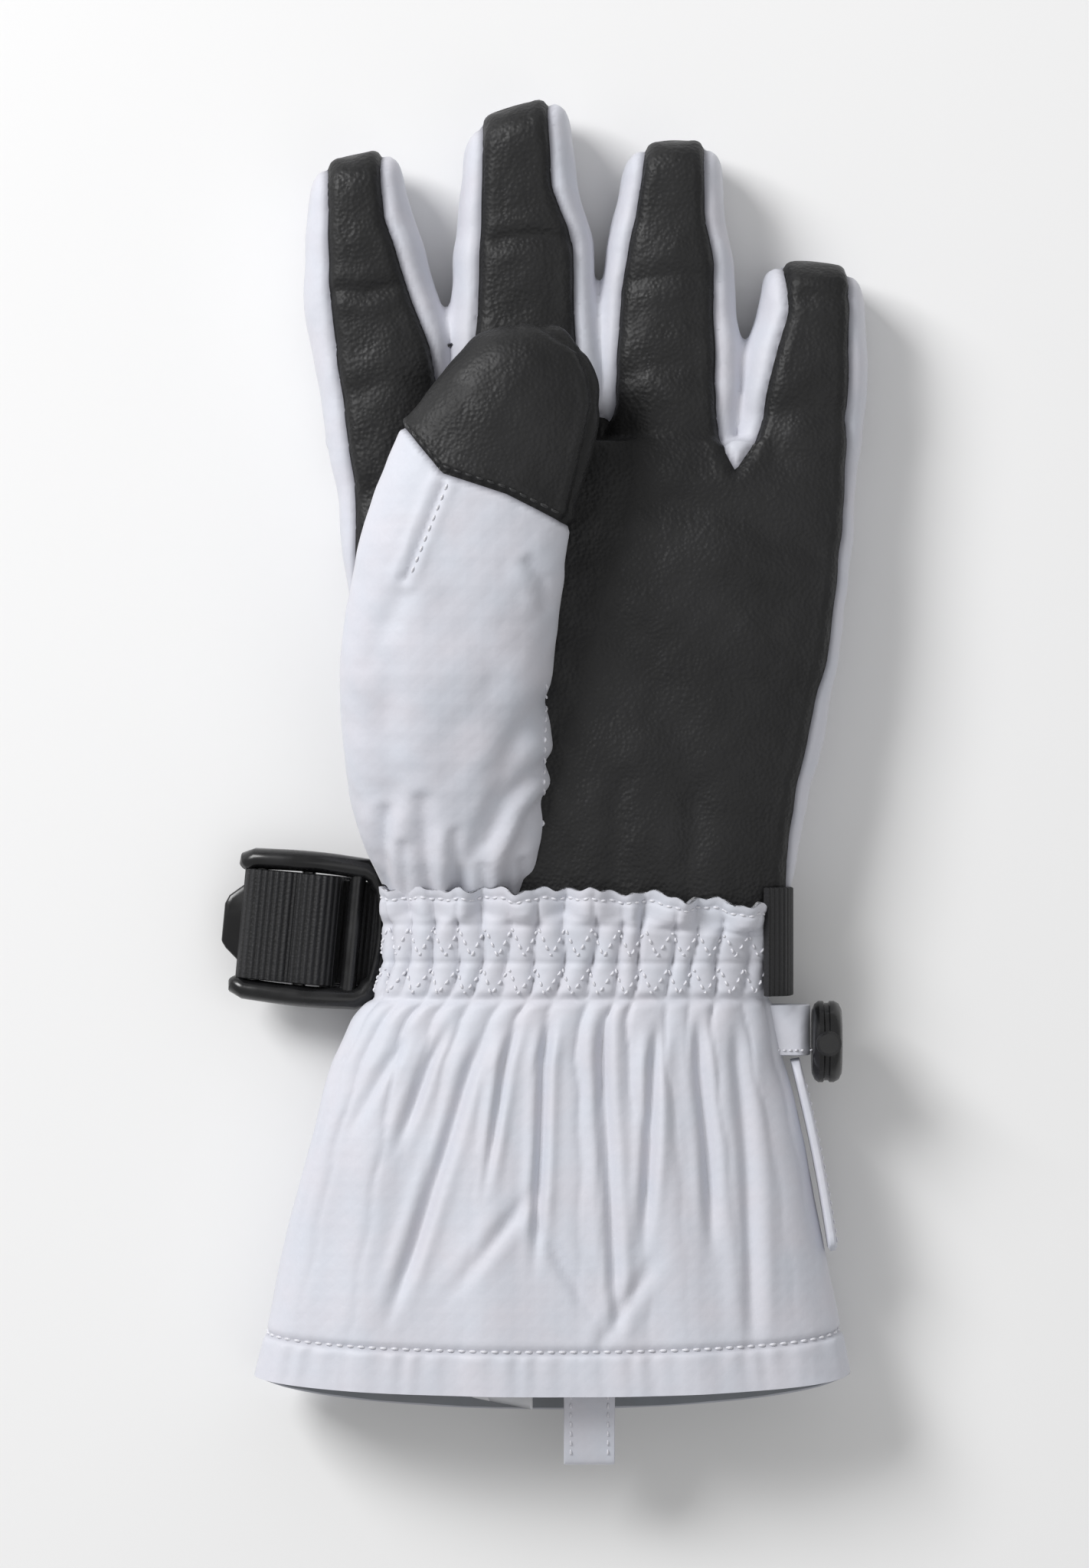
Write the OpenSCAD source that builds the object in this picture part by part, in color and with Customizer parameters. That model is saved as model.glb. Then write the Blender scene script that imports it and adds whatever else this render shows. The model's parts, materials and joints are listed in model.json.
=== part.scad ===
// Ski glove for a left hand, lying on its back with the palm up.
// +X points to the little finger, +Y to the fingertips and +Z up out of the palm.
// The origin is at the middle of the bounding box, on the surface that the glove lies on.

/* [Hand] */
// Width across the palm at the finger roots
palm_w = 98; // [82:1:118]
// Length from the wrist line to the finger roots
palm_len = 92; // [77:1:110]
// Thickness of the padded hand
hand_t = 24; // [22:0.5:29]

/* [Fingers] */
// Thickness of the padded fingers
finger_t = 20; // [18:0.5:24]
// Width of the index finger
index_w = 26; // [23:0.5:27]
// Width of the middle finger
middle_w = 26; // [23:0.5:27]
// Width of the ring finger
ring_w = 26; // [23:0.5:27]
// Width of the little finger
little_w = 21; // [20:0.5:26]
// Length of the index finger from its root
index_len = 53; // [44:1:64]
// Length of the middle finger from its root
middle_len = 62; // [52:1:75]
// Length of the ring finger from its root
ring_len = 55.5; // [46:1:67]
// Length of the little finger from its root
little_len = 33; // [30:1:40]
// Bend of each finger at its middle knuckle
finger_bend = 60; // [30:5:70]

/* [Thumb] */
// Width of the thumb sleeve at its root
thumb_w = 38; // [32:1:46]
// Length of the thumb beyond its fold line
thumb_len = 60; // [50:1:72]
// Thickness of the padded thumb
thumb_t = 18; // [17:0.5:21]
// Lift of the thumb off the palm
thumb_lift = 45; // [20:5:50]

/* [Cuff] */
// Width of the gathered wrist
wrist_w = 71; // [62:1:80]
// Thickness of the gathered wrist
wrist_t = 22; // [20:0.5:26]
// Width of the cuff at its mouth
cuff_w = 109; // [91:1:131]
// Height of the cuff at its mouth
cuff_t = 28; // [25:1:34]
// Length from the wrist line to the hem on the palm side
cuff_len = 80; // [67:1:96]
// How far the back of the hem reaches past the palm side
hem_drop = 7.6; // [3:0.2:10]
// Height of the turned hem
hem_h = 8; // [6:0.5:12]

/* [Layers] */
// Thickness of the leather and the shell fabric
shell_t = 1; // [0.8:0.1:1.4]
// Thickness of the insulation
fill_t = 2.6; // [2:0.1:3]
// Thickness of the lining
lining_t = 0.9; // [0.6:0.1:1.1]
// Room between one layer and the next
layer_gap = 0.15; // [0.1:0.05:0.3]
// Thickness of the elastic in the wrist
elastic_t = 0.9; // [0.6:0.1:1.2]
// Width of each elastic
elastic_w = 6; // [4:0.5:8]

/* [Strap] */
// Width of the webbing
web_w = 20; // [15:1:24]
// Thickness of the webbing
web_t = 1.5; // [1.2:0.1:2]
// Travel of the strap's free end
tail_travel = 12; // [6:1:14]

/* [Buckle] */
// Length of the ladder buckle along the strap
buckle_l = 26; // [24:0.5:30]
// Thickness of the buckle's rails
rail_t = 7; // [6:0.5:9]
// Width of each side rail
rail_w = 2.6; // [2:0.1:3.5]
// Diameter of the buckle's bars
bar_d = 3; // [2.5:0.1:3.6]
// Reach of the lift tab beyond the frame
tab_reach = 5.5; // [4:0.5:8]

/* [Cord lock] */
// Diameter of the round cord lock
lock_d = 15; // [13:0.5:18]
// Thickness of the cord lock
lock_t = 5.4; // [5:0.2:7]
// Diameter of the elastic cord
cord_d = 2; // [1.6:0.1:2.4]
// Travel of the cord lock's plunger
plunger_travel = 2.4; // [1.5:0.1:3]

/* [Tabs] */
// Width of the hanging loop's tape
loop_w = 9.4; // [8:0.2:12]
// Length of the hanging loop outside the hem
loop_out = 17; // [12:1:22]
// Length of the pull tab
pull_l = 36; // [30:1:44]
// Width of the pull tab
pull_h = 10; // [8:0.5:12]

/* [Hidden] */

leather = "#2d2d2e";
fabric = "#cdcfd8";
padding = "#e6e1d6";
fleece = "#2b2c30";
webbing = "#202124";
plastic = "#17181a";
steel = "#b8bcc2";

// Depth of each layer below the outer surface
d_fill = shell_t + layer_gap;
d_lining = d_fill + fill_t + layer_gap;
d_inside = d_lining + lining_t;

// Places of the hand, the wrist and the cuff across the glove
wrist_x = 3.7;
knuckle_x = 7;
hem_x = -0.5;
tuck_y = 5;
ruffle_y = 8;
band_y = -13;
elastic_y = [1.6, -9.6];
fill_y = -22;
lining_y = -45;
strap_room = 0.2;
lift_z = web_t * 2 + strap_room * 2;

// The wrist keeps its size up to here, where the strap passes
band_share = 0.62;
band_top = web_w * band_share / palm_len;
heel_share = 0.24;
pad_share = 0.75;

// Share of the palm's length and of its width, from the wrist to the finger roots
palm_profile = [[0.17, 0.75], [0.33, 0.88], [0.57, 0.94], [0.93, 0.99], [1, 1]];

// One row for each finger: width, length, sideways lean at the knuckle and the tip, knuckle's share
fingers = [
    [index_w, index_len, -3.2, -4.6, 0.42],
    [middle_w, middle_len, 0, -1.2, 0.42],
    [ring_w, ring_len, 2.8, 3.1, 0.42],
    [little_w, little_len, 4.6, 5, 0.32]];
root_gap = 0.4;
root_ease = 0.3;
root_pitch = palm_w / len(fingers);
hinge_z = finger_t * 0.6;
joint_gap = 0.25;
joint_ease = 0.5;
tip_len = 28;
tip_power = 2.2;
square = 2.7;
flat_sine = -0.94;

// Angles that part the strips of a finger: front, gusset and back
front_half = 50;
front_angles = [90 - front_half, 60, 75, 90, 105, 120, 90 + front_half];
back_angles = [270 - front_half, 240, 255, 270, 285, 300, 270 + front_half];
left_angles = [90 + front_half, 160, 180, 200, 270 - front_half];
right_angles = [270 + front_half - 360, -20, 0, 20, 90 - front_half];
gusset_round = concat(right_angles, [60, 75, 90, 105, 120], left_angles, [240, 255, 270, 285, 300]);
round_angles = [0:18:359];
hand_round = [0:12:359];
hand_front = [-12:12:192];
hand_rear = [192:12:348];

function spow(v, p) = sign(v) * pow(abs(v), p);
function mix(a, b, t) = a + (b - a) * t;
function clamp01(t) = max(0, min(1, t));
// Rounded section with a flat underside
function section(cx, y, cz, hw, hh, a) =
    [cx + hw * spow(cos(a), 2 / square), y, cz + hh * (sin(a) < flat_sine ? -1 : spow(sin(a), 2 / square))];
function dome(u, l) = u >= l ? 1 : pow(max(0, 1 - pow(1 - u / l, tip_power)), 1 / tip_power);

// Outline of the hand from the wrist line to the finger roots
function hand_half(y) = lookup(y / palm_len,
    concat([[band_top, wrist_w / palm_w]], palm_profile)) * palm_w / 2;
function hand_mid(y) = mix(wrist_x, knuckle_x, clamp01((y / palm_len - band_top) / (1 - band_top)));
function hand_high(y) = lookup(y / palm_len,
    [[band_top, wrist_t / 2], [heel_share, hand_t / 2], [pad_share, hand_t / 2], [1, finger_t / 2]]);
function hand_centre(y) = lookup(y / palm_len,
    [[band_top, lift_z + wrist_t / 2], [heel_share, hand_t / 2], [pad_share, hand_t / 2], [1, finger_t / 2]]);
function hand_at(y, a, d) =
    section(hand_mid(y), y, hand_centre(y), hand_half(y) - d - tuck_in(y), hand_high(y) - d - tuck_in(y), a);
// The hand narrows by this much where it goes inside the wrist band
function tuck_in(y) = y < ruffle_y + tuck_step ? shell_t + layer_gap : 0;

// Outline of the cuff from the ruffled edge to the hem; the mouth slants to a longer back
cuff_z = cuff_t / 2;
function cuff_share(y) = clamp01((band_y - y) / (cuff_len + band_y));
flare_power = 0.8;
slant_power = 3;
function cuff_half(y) = y > 0 ? hand_half(y) : mix(wrist_w / 2, cuff_w / 2, pow(cuff_share(y), flare_power));
function cuff_mid(y) = y > 0 ? hand_mid(y) : mix(wrist_x, hem_x, cuff_share(y));
function cuff_high(y) = y > 0 ? hand_high(y) : mix(wrist_t / 2, cuff_t / 2, cuff_share(y));
function cuff_centre(y) = y > 0 ? hand_centre(y) : mix(lift_z + wrist_t / 2, cuff_z, cuff_share(y));
function cuff_at(y, a, d) =
    let (p = section(cuff_mid(y), y, cuff_centre(y), cuff_half(y) - d, cuff_high(y) - d, a))
    [p.x, y - hem_drop * pow(cuff_share(y), slant_power) * (1 - p.z / cuff_t), p.z];

// Outline of one finger; its root stands beside its neighbours' roots
function root_x(f) = knuckle_x + (f - (len(fingers) - 1) / 2) * root_pitch;
function joint_y(f) = palm_len + fingers[f][1] * fingers[f][4];
function tip_y(f) = palm_len + fingers[f][1];
function finger_mid(f, y) = y < joint_y(f)
    ? mix(root_x(f), root_x(f) + fingers[f][2], (y - palm_len) / (joint_y(f) - palm_len))
    : mix(root_x(f) + fingers[f][2], root_x(f) + fingers[f][3], (y - joint_y(f)) / (tip_y(f) - joint_y(f)));
function finger_half(f, y) = y < joint_y(f)
    ? mix(root_pitch - root_gap, fingers[f][0], clamp01((y - palm_len) / (joint_y(f) - palm_len))) / 2
    : fingers[f][0] / 2;
function slant(z) = joint_gap / 2 + max(0, z - hinge_z) * tan(finger_bend / 2 + joint_ease);
function base_at(f) = function (t, a, d)
    let (y = mix(palm_len, joint_y(f), t),
         p = section(finger_mid(f, y), y, finger_t / 2, finger_half(f, y) - d, finger_t / 2 - d, a))
    [p.x, t == 1 ? y - slant(p.z) : y, p.z];
function tip_at(f) = function (t, a, d)
    let (y = mix(joint_y(f), tip_y(f) - d, t),
         u = tip_y(f) - d - y,
         l = min(tip_len, tip_y(f) - joint_y(f)) - d,
         s = dome(u, l),
         p = section(finger_mid(f, y), y, finger_t / 2,
             (finger_half(f, y) - d) * s, (finger_t / 2 - d) * s, a))
    [p.x, t == 0 ? y + slant(p.z) : y, p.z];

// Outline of the thumb: it lies on the palm and leans across it towards its tip
fold_y = palm_len * 0.56;
thumb_low = hand_t + 0.5;
thumb_root_y = 13;
thumb_inset = 2.7;
thumb_edge = knuckle_x - palm_w / 2 + thumb_inset;
thumb_lean = 13.5;
thumb_bow = 1.3;
thumb_narrow = 3;
thumb_root_w = 0.4;
thumb_root_t = 0.3;
thumb_widen = 2;
thumb_thicken = 1.4;
thumb_hinge_z = thumb_low + thumb_t - thumb_narrow;
function thumb_mid(y) = thumb_edge + thumb_w / 2 + (y < fold_y ? 0 :
    thumb_lean * pow((y - fold_y) / thumb_len, thumb_bow));
cap_t = 0.55;
cap_slope = 0.54;
function thumb_slant(z) = joint_gap / 2 + max(0, z - thumb_hinge_z) * tan(thumb_lift / 2 + joint_ease);
function gusset_at(t, a, d) =
    let (y = mix(thumb_root_y, fold_y, t),
         hh = mix(thumb_t * thumb_root_t, thumb_t / 2, clamp01(t * thumb_thicken)),
         hw = mix(thumb_w * thumb_root_w, thumb_w / 2, clamp01(t * thumb_widen)),
         p = section(thumb_mid(y), y, thumb_low + hh, hw - d, hh - d, a))
    [p.x, t == 1 ? y - thumb_slant(p.z) : y, p.z];
function thumb_at(t, a, d) =
    let (y = mix(fold_y, fold_y + thumb_len - d, t),
         u = fold_y + thumb_len - d - y,
         s = dome(u, tip_len - d),
         w = thumb_w / 2 - thumb_narrow * t - d,
         p = section(thumb_mid(y), y, thumb_low + thumb_t / 2, w * s, (thumb_t / 2 - d) * s, a))
    [p.x, t == 0 ? y + thumb_slant(p.z) : t == cap_t ? y - (p.x - thumb_mid(y)) * cap_slope : y, p.z];

// Closed solid between two depths of a surface that at(row, angle, depth) gives
module patch(at, rows, angles, d_out, d_in, wrap = false, pole = false) {
    angle_list = [for (a = angles) a];
    row_list = [for (r = rows) r];
    na = len(angle_list);
    nr = len(row_list);
    rings = pole ? nr - 1 : nr;
    outer = [for (r = [0:rings - 1]) for (a = angle_list) at(row_list[r], a, d_out)];
    inner = [for (r = [0:rings - 1]) for (a = angle_list) at(row_list[r], a, d_in)];
    poles = pole ? [at(row_list[nr - 1], 0, d_out), at(row_list[nr - 1], 0, d_in)] : [];
    shift = rings * na;
    cols = wrap ? na : na - 1;
    skin = [for (r = [0:rings - 2]) for (c = [0:cols - 1]) let (e = (c + 1) % na)
        [r * na + c, r * na + e, (r + 1) * na + e, (r + 1) * na + c]];
    core = [for (q = skin) [q[3] + shift, q[2] + shift, q[1] + shift, q[0] + shift]];
    start = [for (c = [0:cols - 1]) let (e = (c + 1) % na) [c, c + shift, e + shift, e]];
    last = (rings - 1) * na;
    end = [for (c = [0:cols - 1]) let (e = (c + 1) % na)
        each pole
            ? [[last + c, last + e, 2 * shift], [last + e + shift, last + c + shift, 2 * shift + 1]]
            : [[last + c, last + e, last + e + shift, last + c + shift]]];
    side_a = wrap ? [] : [for (r = [0:rings - 2])
        [r * na, (r + 1) * na, (r + 1) * na + shift, r * na + shift]];
    side_b = wrap ? [] : [for (q = side_a) [q[3] + na - 1, q[2] + na - 1, q[1] + na - 1, q[0] + na - 1]];
    polyhedron(concat(outer, inner, poles), concat(skin, core, start, end, side_a, side_b), convexity = 6);
}

// Flat band of webbing: a path in the XZ plane, thickened and given a width along Y
function path_normal(p, i) =
    let (a = p[max(0, i - 1)], b = p[min(len(p) - 1, i + 1)], d = b - a, l = norm(d)) [-d.y / l, d.x / l];
module ribbon(path, t, w) {
    side_a = [for (i = [0:len(path) - 1]) path[i] + path_normal(path, i) * t / 2];
    side_b = [for (i = [len(path) - 1:-1:0]) path[i] - path_normal(path, i) * t / 2];
    translate([0, w / 2, 0])
        rotate([90, 0, 0])
            linear_extrude(w)
                polygon(concat(side_a, side_b));
}
function arc(c, r, a0, a1, n) = [for (i = [0:n]) c + r * [cos(mix(a0, a1, i / n)), sin(mix(a0, a1, i / n))]];

tuck_step = 2;
hand_rows = [tuck_y, ruffle_y, ruffle_y + tuck_step, palm_len * 0.2, palm_len * 0.38, palm_len * 0.57,
    palm_len * 0.75, palm_len * 0.9, palm_len];
cuff_rows = [-cuff_len, -cuff_len + hem_h, -cuff_len * 0.75, -cuff_len * 0.5, fill_y, band_y, 0, ruffle_y];
base_rows = [0, 0.5, 1];
tip_rows = [0, 0.35, 0.6, 0.78, 0.9, 0.97];
tip_pole_rows = [0, 0.35, 0.6, 0.78, 0.9, 0.97, 1];
thumb_rows = [0, 0.25, cap_t];
cap_rows = [cap_t, 0.8, 0.92, 0.98, 1];
thumb_all_rows = [0, 0.25, cap_t, 0.8, 0.92, 1];
gusset_rows = [0, 0.35, 0.7, 1];
thumb_round = [0:20:359];
thumb_top = [-20:20:200];
thumb_under = [200:20:340];

// Layers that run on from the hand into the wrist, where the band wraps over the tucked edge
inner_step = shell_t + layer_gap;
function inner_at(y, a, d) = y >= tuck_y ? hand_at(y, a, d) : cuff_at(y, a, d + inner_step);
inner_hand_rows = [for (y = hand_rows) if (y > tuck_y) y];
lining_lap = 4;
cuff_lining_rows = [-cuff_len + hem_h, -cuff_len * 0.75, lining_y + lining_lap];
fill_rows = concat([fill_y, band_y, 0, tuck_y], inner_hand_rows);
lining_rows = concat([lining_y, fill_y, band_y, 0, tuck_y], inner_hand_rows);

// Hole under the thumb that joins its inside to the hand's inside
hole_margin = [7, 9];
hole_share = 0.22;
hole_depth = 9;
hole_from = [thumb_edge + hole_margin[0], palm_len * heel_share, hand_t - hole_depth];
hole_size = [thumb_w - hole_margin[0] - hole_margin[1], palm_len * hole_share, thumb_t];
module thumb_hole() {
    translate(hole_from)
        cube(hole_size);
}

module palm_panel() {
    color(leather) {
        difference() {
            patch(function (y, a, d) hand_at(y, a, d), hand_rows, hand_front, 0, shell_t);
            thumb_hole();
        }
        for (f = [0:3])
            patch(base_at(f), base_rows, front_angles, 0, shell_t);
    }
}

module back_panel() {
    color(fabric) {
        patch(function (y, a, d) hand_at(y, a, d), hand_rows, hand_rear, 0, shell_t);
        for (f = [0:3])
            patch(base_at(f), base_rows, back_angles, 0, shell_t);
    }
}

module fourchettes() {
    color(leather)
        for (f = [0:3]) {
            patch(base_at(f), base_rows, left_angles, 0, shell_t);
            patch(base_at(f), base_rows, right_angles, 0, shell_t);
        }
}

module thumb_gusset() {
    color(fabric)
        difference() {
            patch(function (t, a, d) gusset_at(t, a, d), gusset_rows, round_angles, 0, shell_t, wrap = true);
            thumb_hole();
        }
}

module hand_fill() {
    color(padding) {
        difference() {
            patch(function (y, a, d) inner_at(y, a, d), fill_rows, hand_round, d_fill, d_fill + fill_t,
                wrap = true);
            thumb_hole();
            cord_way();
        }
        for (f = [0:3])
            patch(base_at(f), base_rows, gusset_round, d_fill + root_ease, d_fill + fill_t, wrap = true);
    }
}

module hand_lining() {
    color(fleece) {
        difference() {
            patch(function (y, a, d) inner_at(y, a, d), lining_rows, hand_round, d_lining, d_inside,
                wrap = true);
            thumb_hole();
        }
        for (f = [0:3])
            patch(base_at(f), base_rows, gusset_round, d_lining, d_inside, wrap = true);
    }
}

module cuff_shell() {
    color(fabric)
        difference() {
            patch(function (y, a, d) cuff_at(y, a, d), cuff_rows, hand_round, 0, shell_t, wrap = true);
            cord_way();
        }
}

module wrist_elastic() {
    color("white")
        for (y = elastic_y)
            patch(function (y, a, d) cuff_at(y, a, d), [y - elastic_w / 2, y + elastic_w / 2], hand_round,
                inner_step, inner_step + elastic_t, wrap = true);
}

module cuff_hem() {
    color(fabric)
        patch(function (y, a, d) cuff_at(y, a, d), [-cuff_len, -cuff_len + hem_h], hand_round,
            inner_step, inner_step + lining_t, wrap = true);
}

module cuff_lining() {
    color(fabric)
        patch(function (y, a, d) cuff_at(y, a, d), cuff_lining_rows, hand_round, inner_step,
             inner_step + lining_t, wrap = true);
}

// Webbing strap: it runs under the back of the wrist and up its little-finger side
tail_z = web_t / 2;
strap_z = tail_z + web_t + strap_room;
turn_inset = 8;
turn_end = 35;
strap_turn_x = wrist_x + wrist_w / 2 - turn_inset;
strap_turn_z = lift_z + wrist_t / 2;
strap_turn_r = strap_turn_z - strap_z;
anchor_gap = 5.8;
anchor_x = wrist_x - wrist_w / 2 - anchor_gap;
strap_start = [2.6, 0.5];
strap_level = 7;
strap_end = [4.5, 0.62];
bar_z = rail_t + 2.5;
buckle_y = 1.4;
buckle_lean = 5.5;
bar_pitch = (buckle_l - rail_t - bar_d / 2) / 2;
wrap_room = 0.15;
wrap_r = bar_d / 2 + web_t / 2 + wrap_room;
wrap_start = 1;
wrap_drop = strap_z - bar_z + 0.5;
wrap_rise = 0.8;
anchor_ends = [5.2, 7.8];
tail_start = 0.7;
tail_end = tail_travel + 15;
inner_w = web_w + 0.8;
bar_sunk = 0.4;
tab_t = 1.1;
tab_room = 0.2;
tab_lap = 1;

module strap() {
    color(webbing)
        ribbon(concat([[anchor_x + strap_start[0], strap_z + strap_start[1]],
            [anchor_x + strap_level, strap_z]],
            arc([strap_turn_x, strap_turn_z], strap_turn_r, -90, turn_end, 10),
            [[strap_turn_x + strap_turn_r - strap_end[0], strap_turn_z + strap_turn_r * strap_end[1]]]),
            web_t, web_w);
}

// Places a piece drawn about the buckle's anchor bar
module at_anchor() {
    translate([anchor_x, buckle_y, bar_z])
        rotate([0, 0, -buckle_lean])
            children();
}

module buckle_anchor() {
    color(webbing)
        at_anchor()
            ribbon(concat([[anchor_ends[0], wrap_r]], arc([0, 0], wrap_r, 90, 270, 10),
                [[anchor_ends[1], -wrap_r]]), web_t, web_w);
}

module buckle_frame() {
    left_x = -2 * bar_pitch;
    color(plastic)
        at_anchor() {
            for (side = [-1, 1])
                translate([0, side * (inner_w + rail_w) / 2, 0])
                    rotate([90, 0, 0])
                        linear_extrude(rail_w, center = true) {
                            circle(d = rail_t, $fn = 48);
                            translate([left_x, 0])
                                circle(d = rail_t, $fn = 48);
                            translate([left_x, -rail_t / 2])
                                square([-left_x, rail_t]);
                        }
            for (x = [0, -bar_pitch, left_x])
                translate([x, 0, 0])
                    rotate([90, 0, 0])
                        cylinder(d = bar_d, h = inner_w + bar_sunk, center = true, $fn = 48);
            translate([left_x - bar_d / 2, 0, -wrap_r - web_t / 2 - tab_t - tab_room])
                linear_extrude(tab_t)
                    polygon([[bar_d / 2, -inner_w / 2 - tab_lap], [-bar_d / 2, -inner_w / 2 - tab_lap],
                        [-tab_reach, -inner_w / 4], [-tab_reach, inner_w / 4],
                        [-bar_d / 2, inner_w / 2 + tab_lap], [bar_d / 2, inner_w / 2 + tab_lap]]);
        }
}

module strap_wrap() {
    color(webbing)
        at_anchor()
            ribbon(concat([[wrap_start, wrap_drop], [-bar_pitch * 0.6, wrap_drop + wrap_rise]],
                arc([-2 * bar_pitch, 0], wrap_r, 270, 90, 12),
                arc([-bar_pitch, 0], wrap_r, 90, 10, 6)), web_t, web_w);
}

module strap_tail() {
    color(webbing)
        ribbon([[anchor_x - bar_pitch * tail_start, tail_z], [anchor_x + tail_end, tail_z]], web_t, web_w);
}

// Cord lock at the little-finger side of the cuff
wrist_side = wrist_x + wrist_w / 2;
lock_stand = 8.2;
lock_at = [wrist_side + lock_stand + lock_t / 2, -18.5, strap_turn_z];
plunger_d = 3.6;
plunger_room = 0.05;
plunger_wall = 1.2;
plunger_free = 0.7;
cord_room = 0.3;
cord_hole = cord_d + 2 * cord_room;
cord_in = 8.5;
cord_out = 1;
knot_size = [cord_d * 1.8, 1.6];
plunger_out = plunger_travel + plunger_free;
head_t = 1.4;
head_lip = 0.5;
spring_len = 3.8;
plunger_floor = -plunger_travel - spring_len;
plunger_base = -cord_d / 2 - cord_room - plunger_wall;
spring_room = 0.1;
spring_turns = 3;
wire_d = 0.5;

// Passage that lets the cord through the cuff
module cord_way() {
    translate(lock_at)
        rotate([0, 90, 0])
            cylinder(d = cord_hole, h = hand_t, center = true, $fn = 24);
}

module drawcord() {
    color(webbing)
        translate(lock_at)
            rotate([0, 90, 0]) {
                translate([0, 0, -lock_t / 2 - cord_in])
                    cylinder(d = cord_d, h = lock_t + cord_in + cord_out, $fn = 24);
                translate([0, 0, lock_t / 2 + cord_out])
                    cylinder(d = knot_size[0], h = knot_size[1], $fn = 24);
            }
}

module lock_body() {
    color(plastic)
        translate(lock_at)
            difference() {
                rotate([0, 90, 0])
                    cylinder(d = lock_d, h = lock_t, center = true, $fn = 96);
                rotate([0, 90, 0])
                    cylinder(d = cord_hole, h = lock_t * 2, center = true, $fn = 24);
                translate([0, 0, plunger_floor])
                    cylinder(d = plunger_d + 2 * plunger_room, h = lock_d, $fn = 48);
            }
}

module lock_plunger() {
    color(plastic)
        translate(lock_at)
            difference() {
                union() {
                    translate([0, 0, plunger_base])
                        cylinder(d = plunger_d, h = lock_d / 2 + plunger_out - plunger_base, $fn = 48);
                    translate([0, 0, lock_d / 2 + plunger_out])
                        cylinder(d = plunger_d + 2 * head_lip, h = head_t, $fn = 48);
                }
                translate([0, 0, plunger_travel / 2])
                    cube([plunger_d + 2 * head_lip, cord_hole, cord_hole + plunger_travel], center = true);
            }
}

module lock_spring() {
    coil_r = plunger_d / 2 - wire_d;
    color(steel)
        translate(lock_at + [0, 0, plunger_floor + spring_room])
            linear_extrude(plunger_base - plunger_floor - 2 * spring_room, twist = -360 * spring_turns,
                slices = 48)
                translate([coil_r, 0])
                    circle(d = wire_d, $fn = 8);
}

// Fabric loop that holds the cord lock at the cuff's side
tape_t = 0.8;
tape_bend = 2.6;
tape_w = 9.6;
tape_reach = 5.2;
tape_gap = 0.1;
tape_at = [wrist_side + 4.9, lock_at.y + 2.2, lock_at.z];
module lock_loop() {
    color(fabric)
        difference() {
            translate(tape_at)
                ribbon(concat([[-tape_reach, tape_bend]], arc([0, 0], tape_bend, 90, -90, 10),
                    [[-tape_reach, -tape_bend]]), tape_t, tape_w);
            cord_way();
            patch(function (y, a, d) cuff_at(y, a, d), cuff_rows, hand_round, -tape_gap, hand_t / 3,
                wrap = true);
        }
}

// Pull tab, a folded strip that lies along the side of the cuff
pull_t = 1.4;
pull_lean = 11.3;
pull_corner = 2;
pull_at = [wrist_side + 5, lock_at.y - 3.2, strap_turn_z];
module pull_tab() {
    color(fabric)
        translate(pull_at)
            rotate([0, 0, pull_lean])
                rotate([0, -90, 0])
                    linear_extrude(pull_t, center = true) {
                        translate([0, -pull_h / 2])
                            circle(d = pull_h, $fn = 48);
                        translate([-pull_h / 2, -pull_l + pull_corner])
                            square([pull_h, pull_l - pull_corner - pull_h / 2]);
                        translate([-pull_h / 2 + pull_corner, -pull_l])
                            square([pull_h - 2 * pull_corner, 2 * pull_corner]);
                        for (side = [-1, 1])
                            translate([side * (pull_h / 2 - pull_corner), -pull_l + pull_corner])
                                circle(r = pull_corner, $fn = 32);
                    }
}

// Hanging loop sewn inside the palm side of the hem
loop_t = 0.8;
loop_x = 6.4;
loop_r = 1.3;
loop_droop = 20;
loop_sewn = 5;
loop_reach = loop_out + loop_sewn - loop_r;
loop_room = 0.5;
loop_at = [loop_x, -cuff_len + loop_sewn, cuff_t - inner_step - lining_t - loop_r - loop_t / 2 - loop_room];
module hang_loop() {
    color(fabric)
        translate(loop_at)
            rotate([-loop_droop, 0, 180])
                rotate([0, 0, 90])
                    ribbon(concat([[0, loop_r]], arc([loop_reach, 0], loop_r, 90, -90, 10), [[0, -loop_r]]),
                        loop_t, loop_w);
}

// Care label sewn beside the hanging loop
label_x = -15;
label_size = [11, 18, 0.5];
label_out = 3.5;
module care_label() {
    color("white")
        translate([label_x, -cuff_len - label_out, loop_at.z - label_size.z])
            cube(label_size);
}

module thumb_sleeve() {
    color(fabric)
        patch(function (t, a, d) thumb_at(t, a, d), thumb_rows, thumb_top, 0, shell_t);
}

module thumb_front() {
    color(leather)
        patch(function (t, a, d) thumb_at(t, a, d), thumb_rows, thumb_under, 0, shell_t);
}

module thumb_cap() {
    color(leather)
        patch(function (t, a, d) thumb_at(t, a, d), cap_rows, thumb_round, 0, shell_t,
            wrap = true, pole = true);
}

module thumb_fill() {
    color(padding)
        patch(function (t, a, d) thumb_at(t, a, d), thumb_all_rows, thumb_round, d_fill, d_fill + fill_t,
            wrap = true, pole = true);
}

module thumb_lining() {
    color(fleece)
        patch(function (t, a, d) thumb_at(t, a, d), thumb_all_rows, thumb_round, d_lining, d_inside,
            wrap = true, pole = true);
}

// The five pieces of each fingertip
module finger_front(f) {
    color(leather)
        patch(tip_at(f), tip_rows, front_angles, 0, shell_t);
}

module finger_back(f) {
    color(fabric)
        patch(tip_at(f), tip_rows, back_angles, 0, shell_t);
}

module finger_gusset(f) {
    color(leather) {
        patch(tip_at(f), tip_rows, left_angles, 0, shell_t);
        patch(tip_at(f), tip_rows, right_angles, 0, shell_t);
        patch(tip_at(f), [tip_rows[len(tip_rows) - 1], 1], gusset_round, 0, shell_t, wrap = true, pole = true);
    }
}

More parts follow.
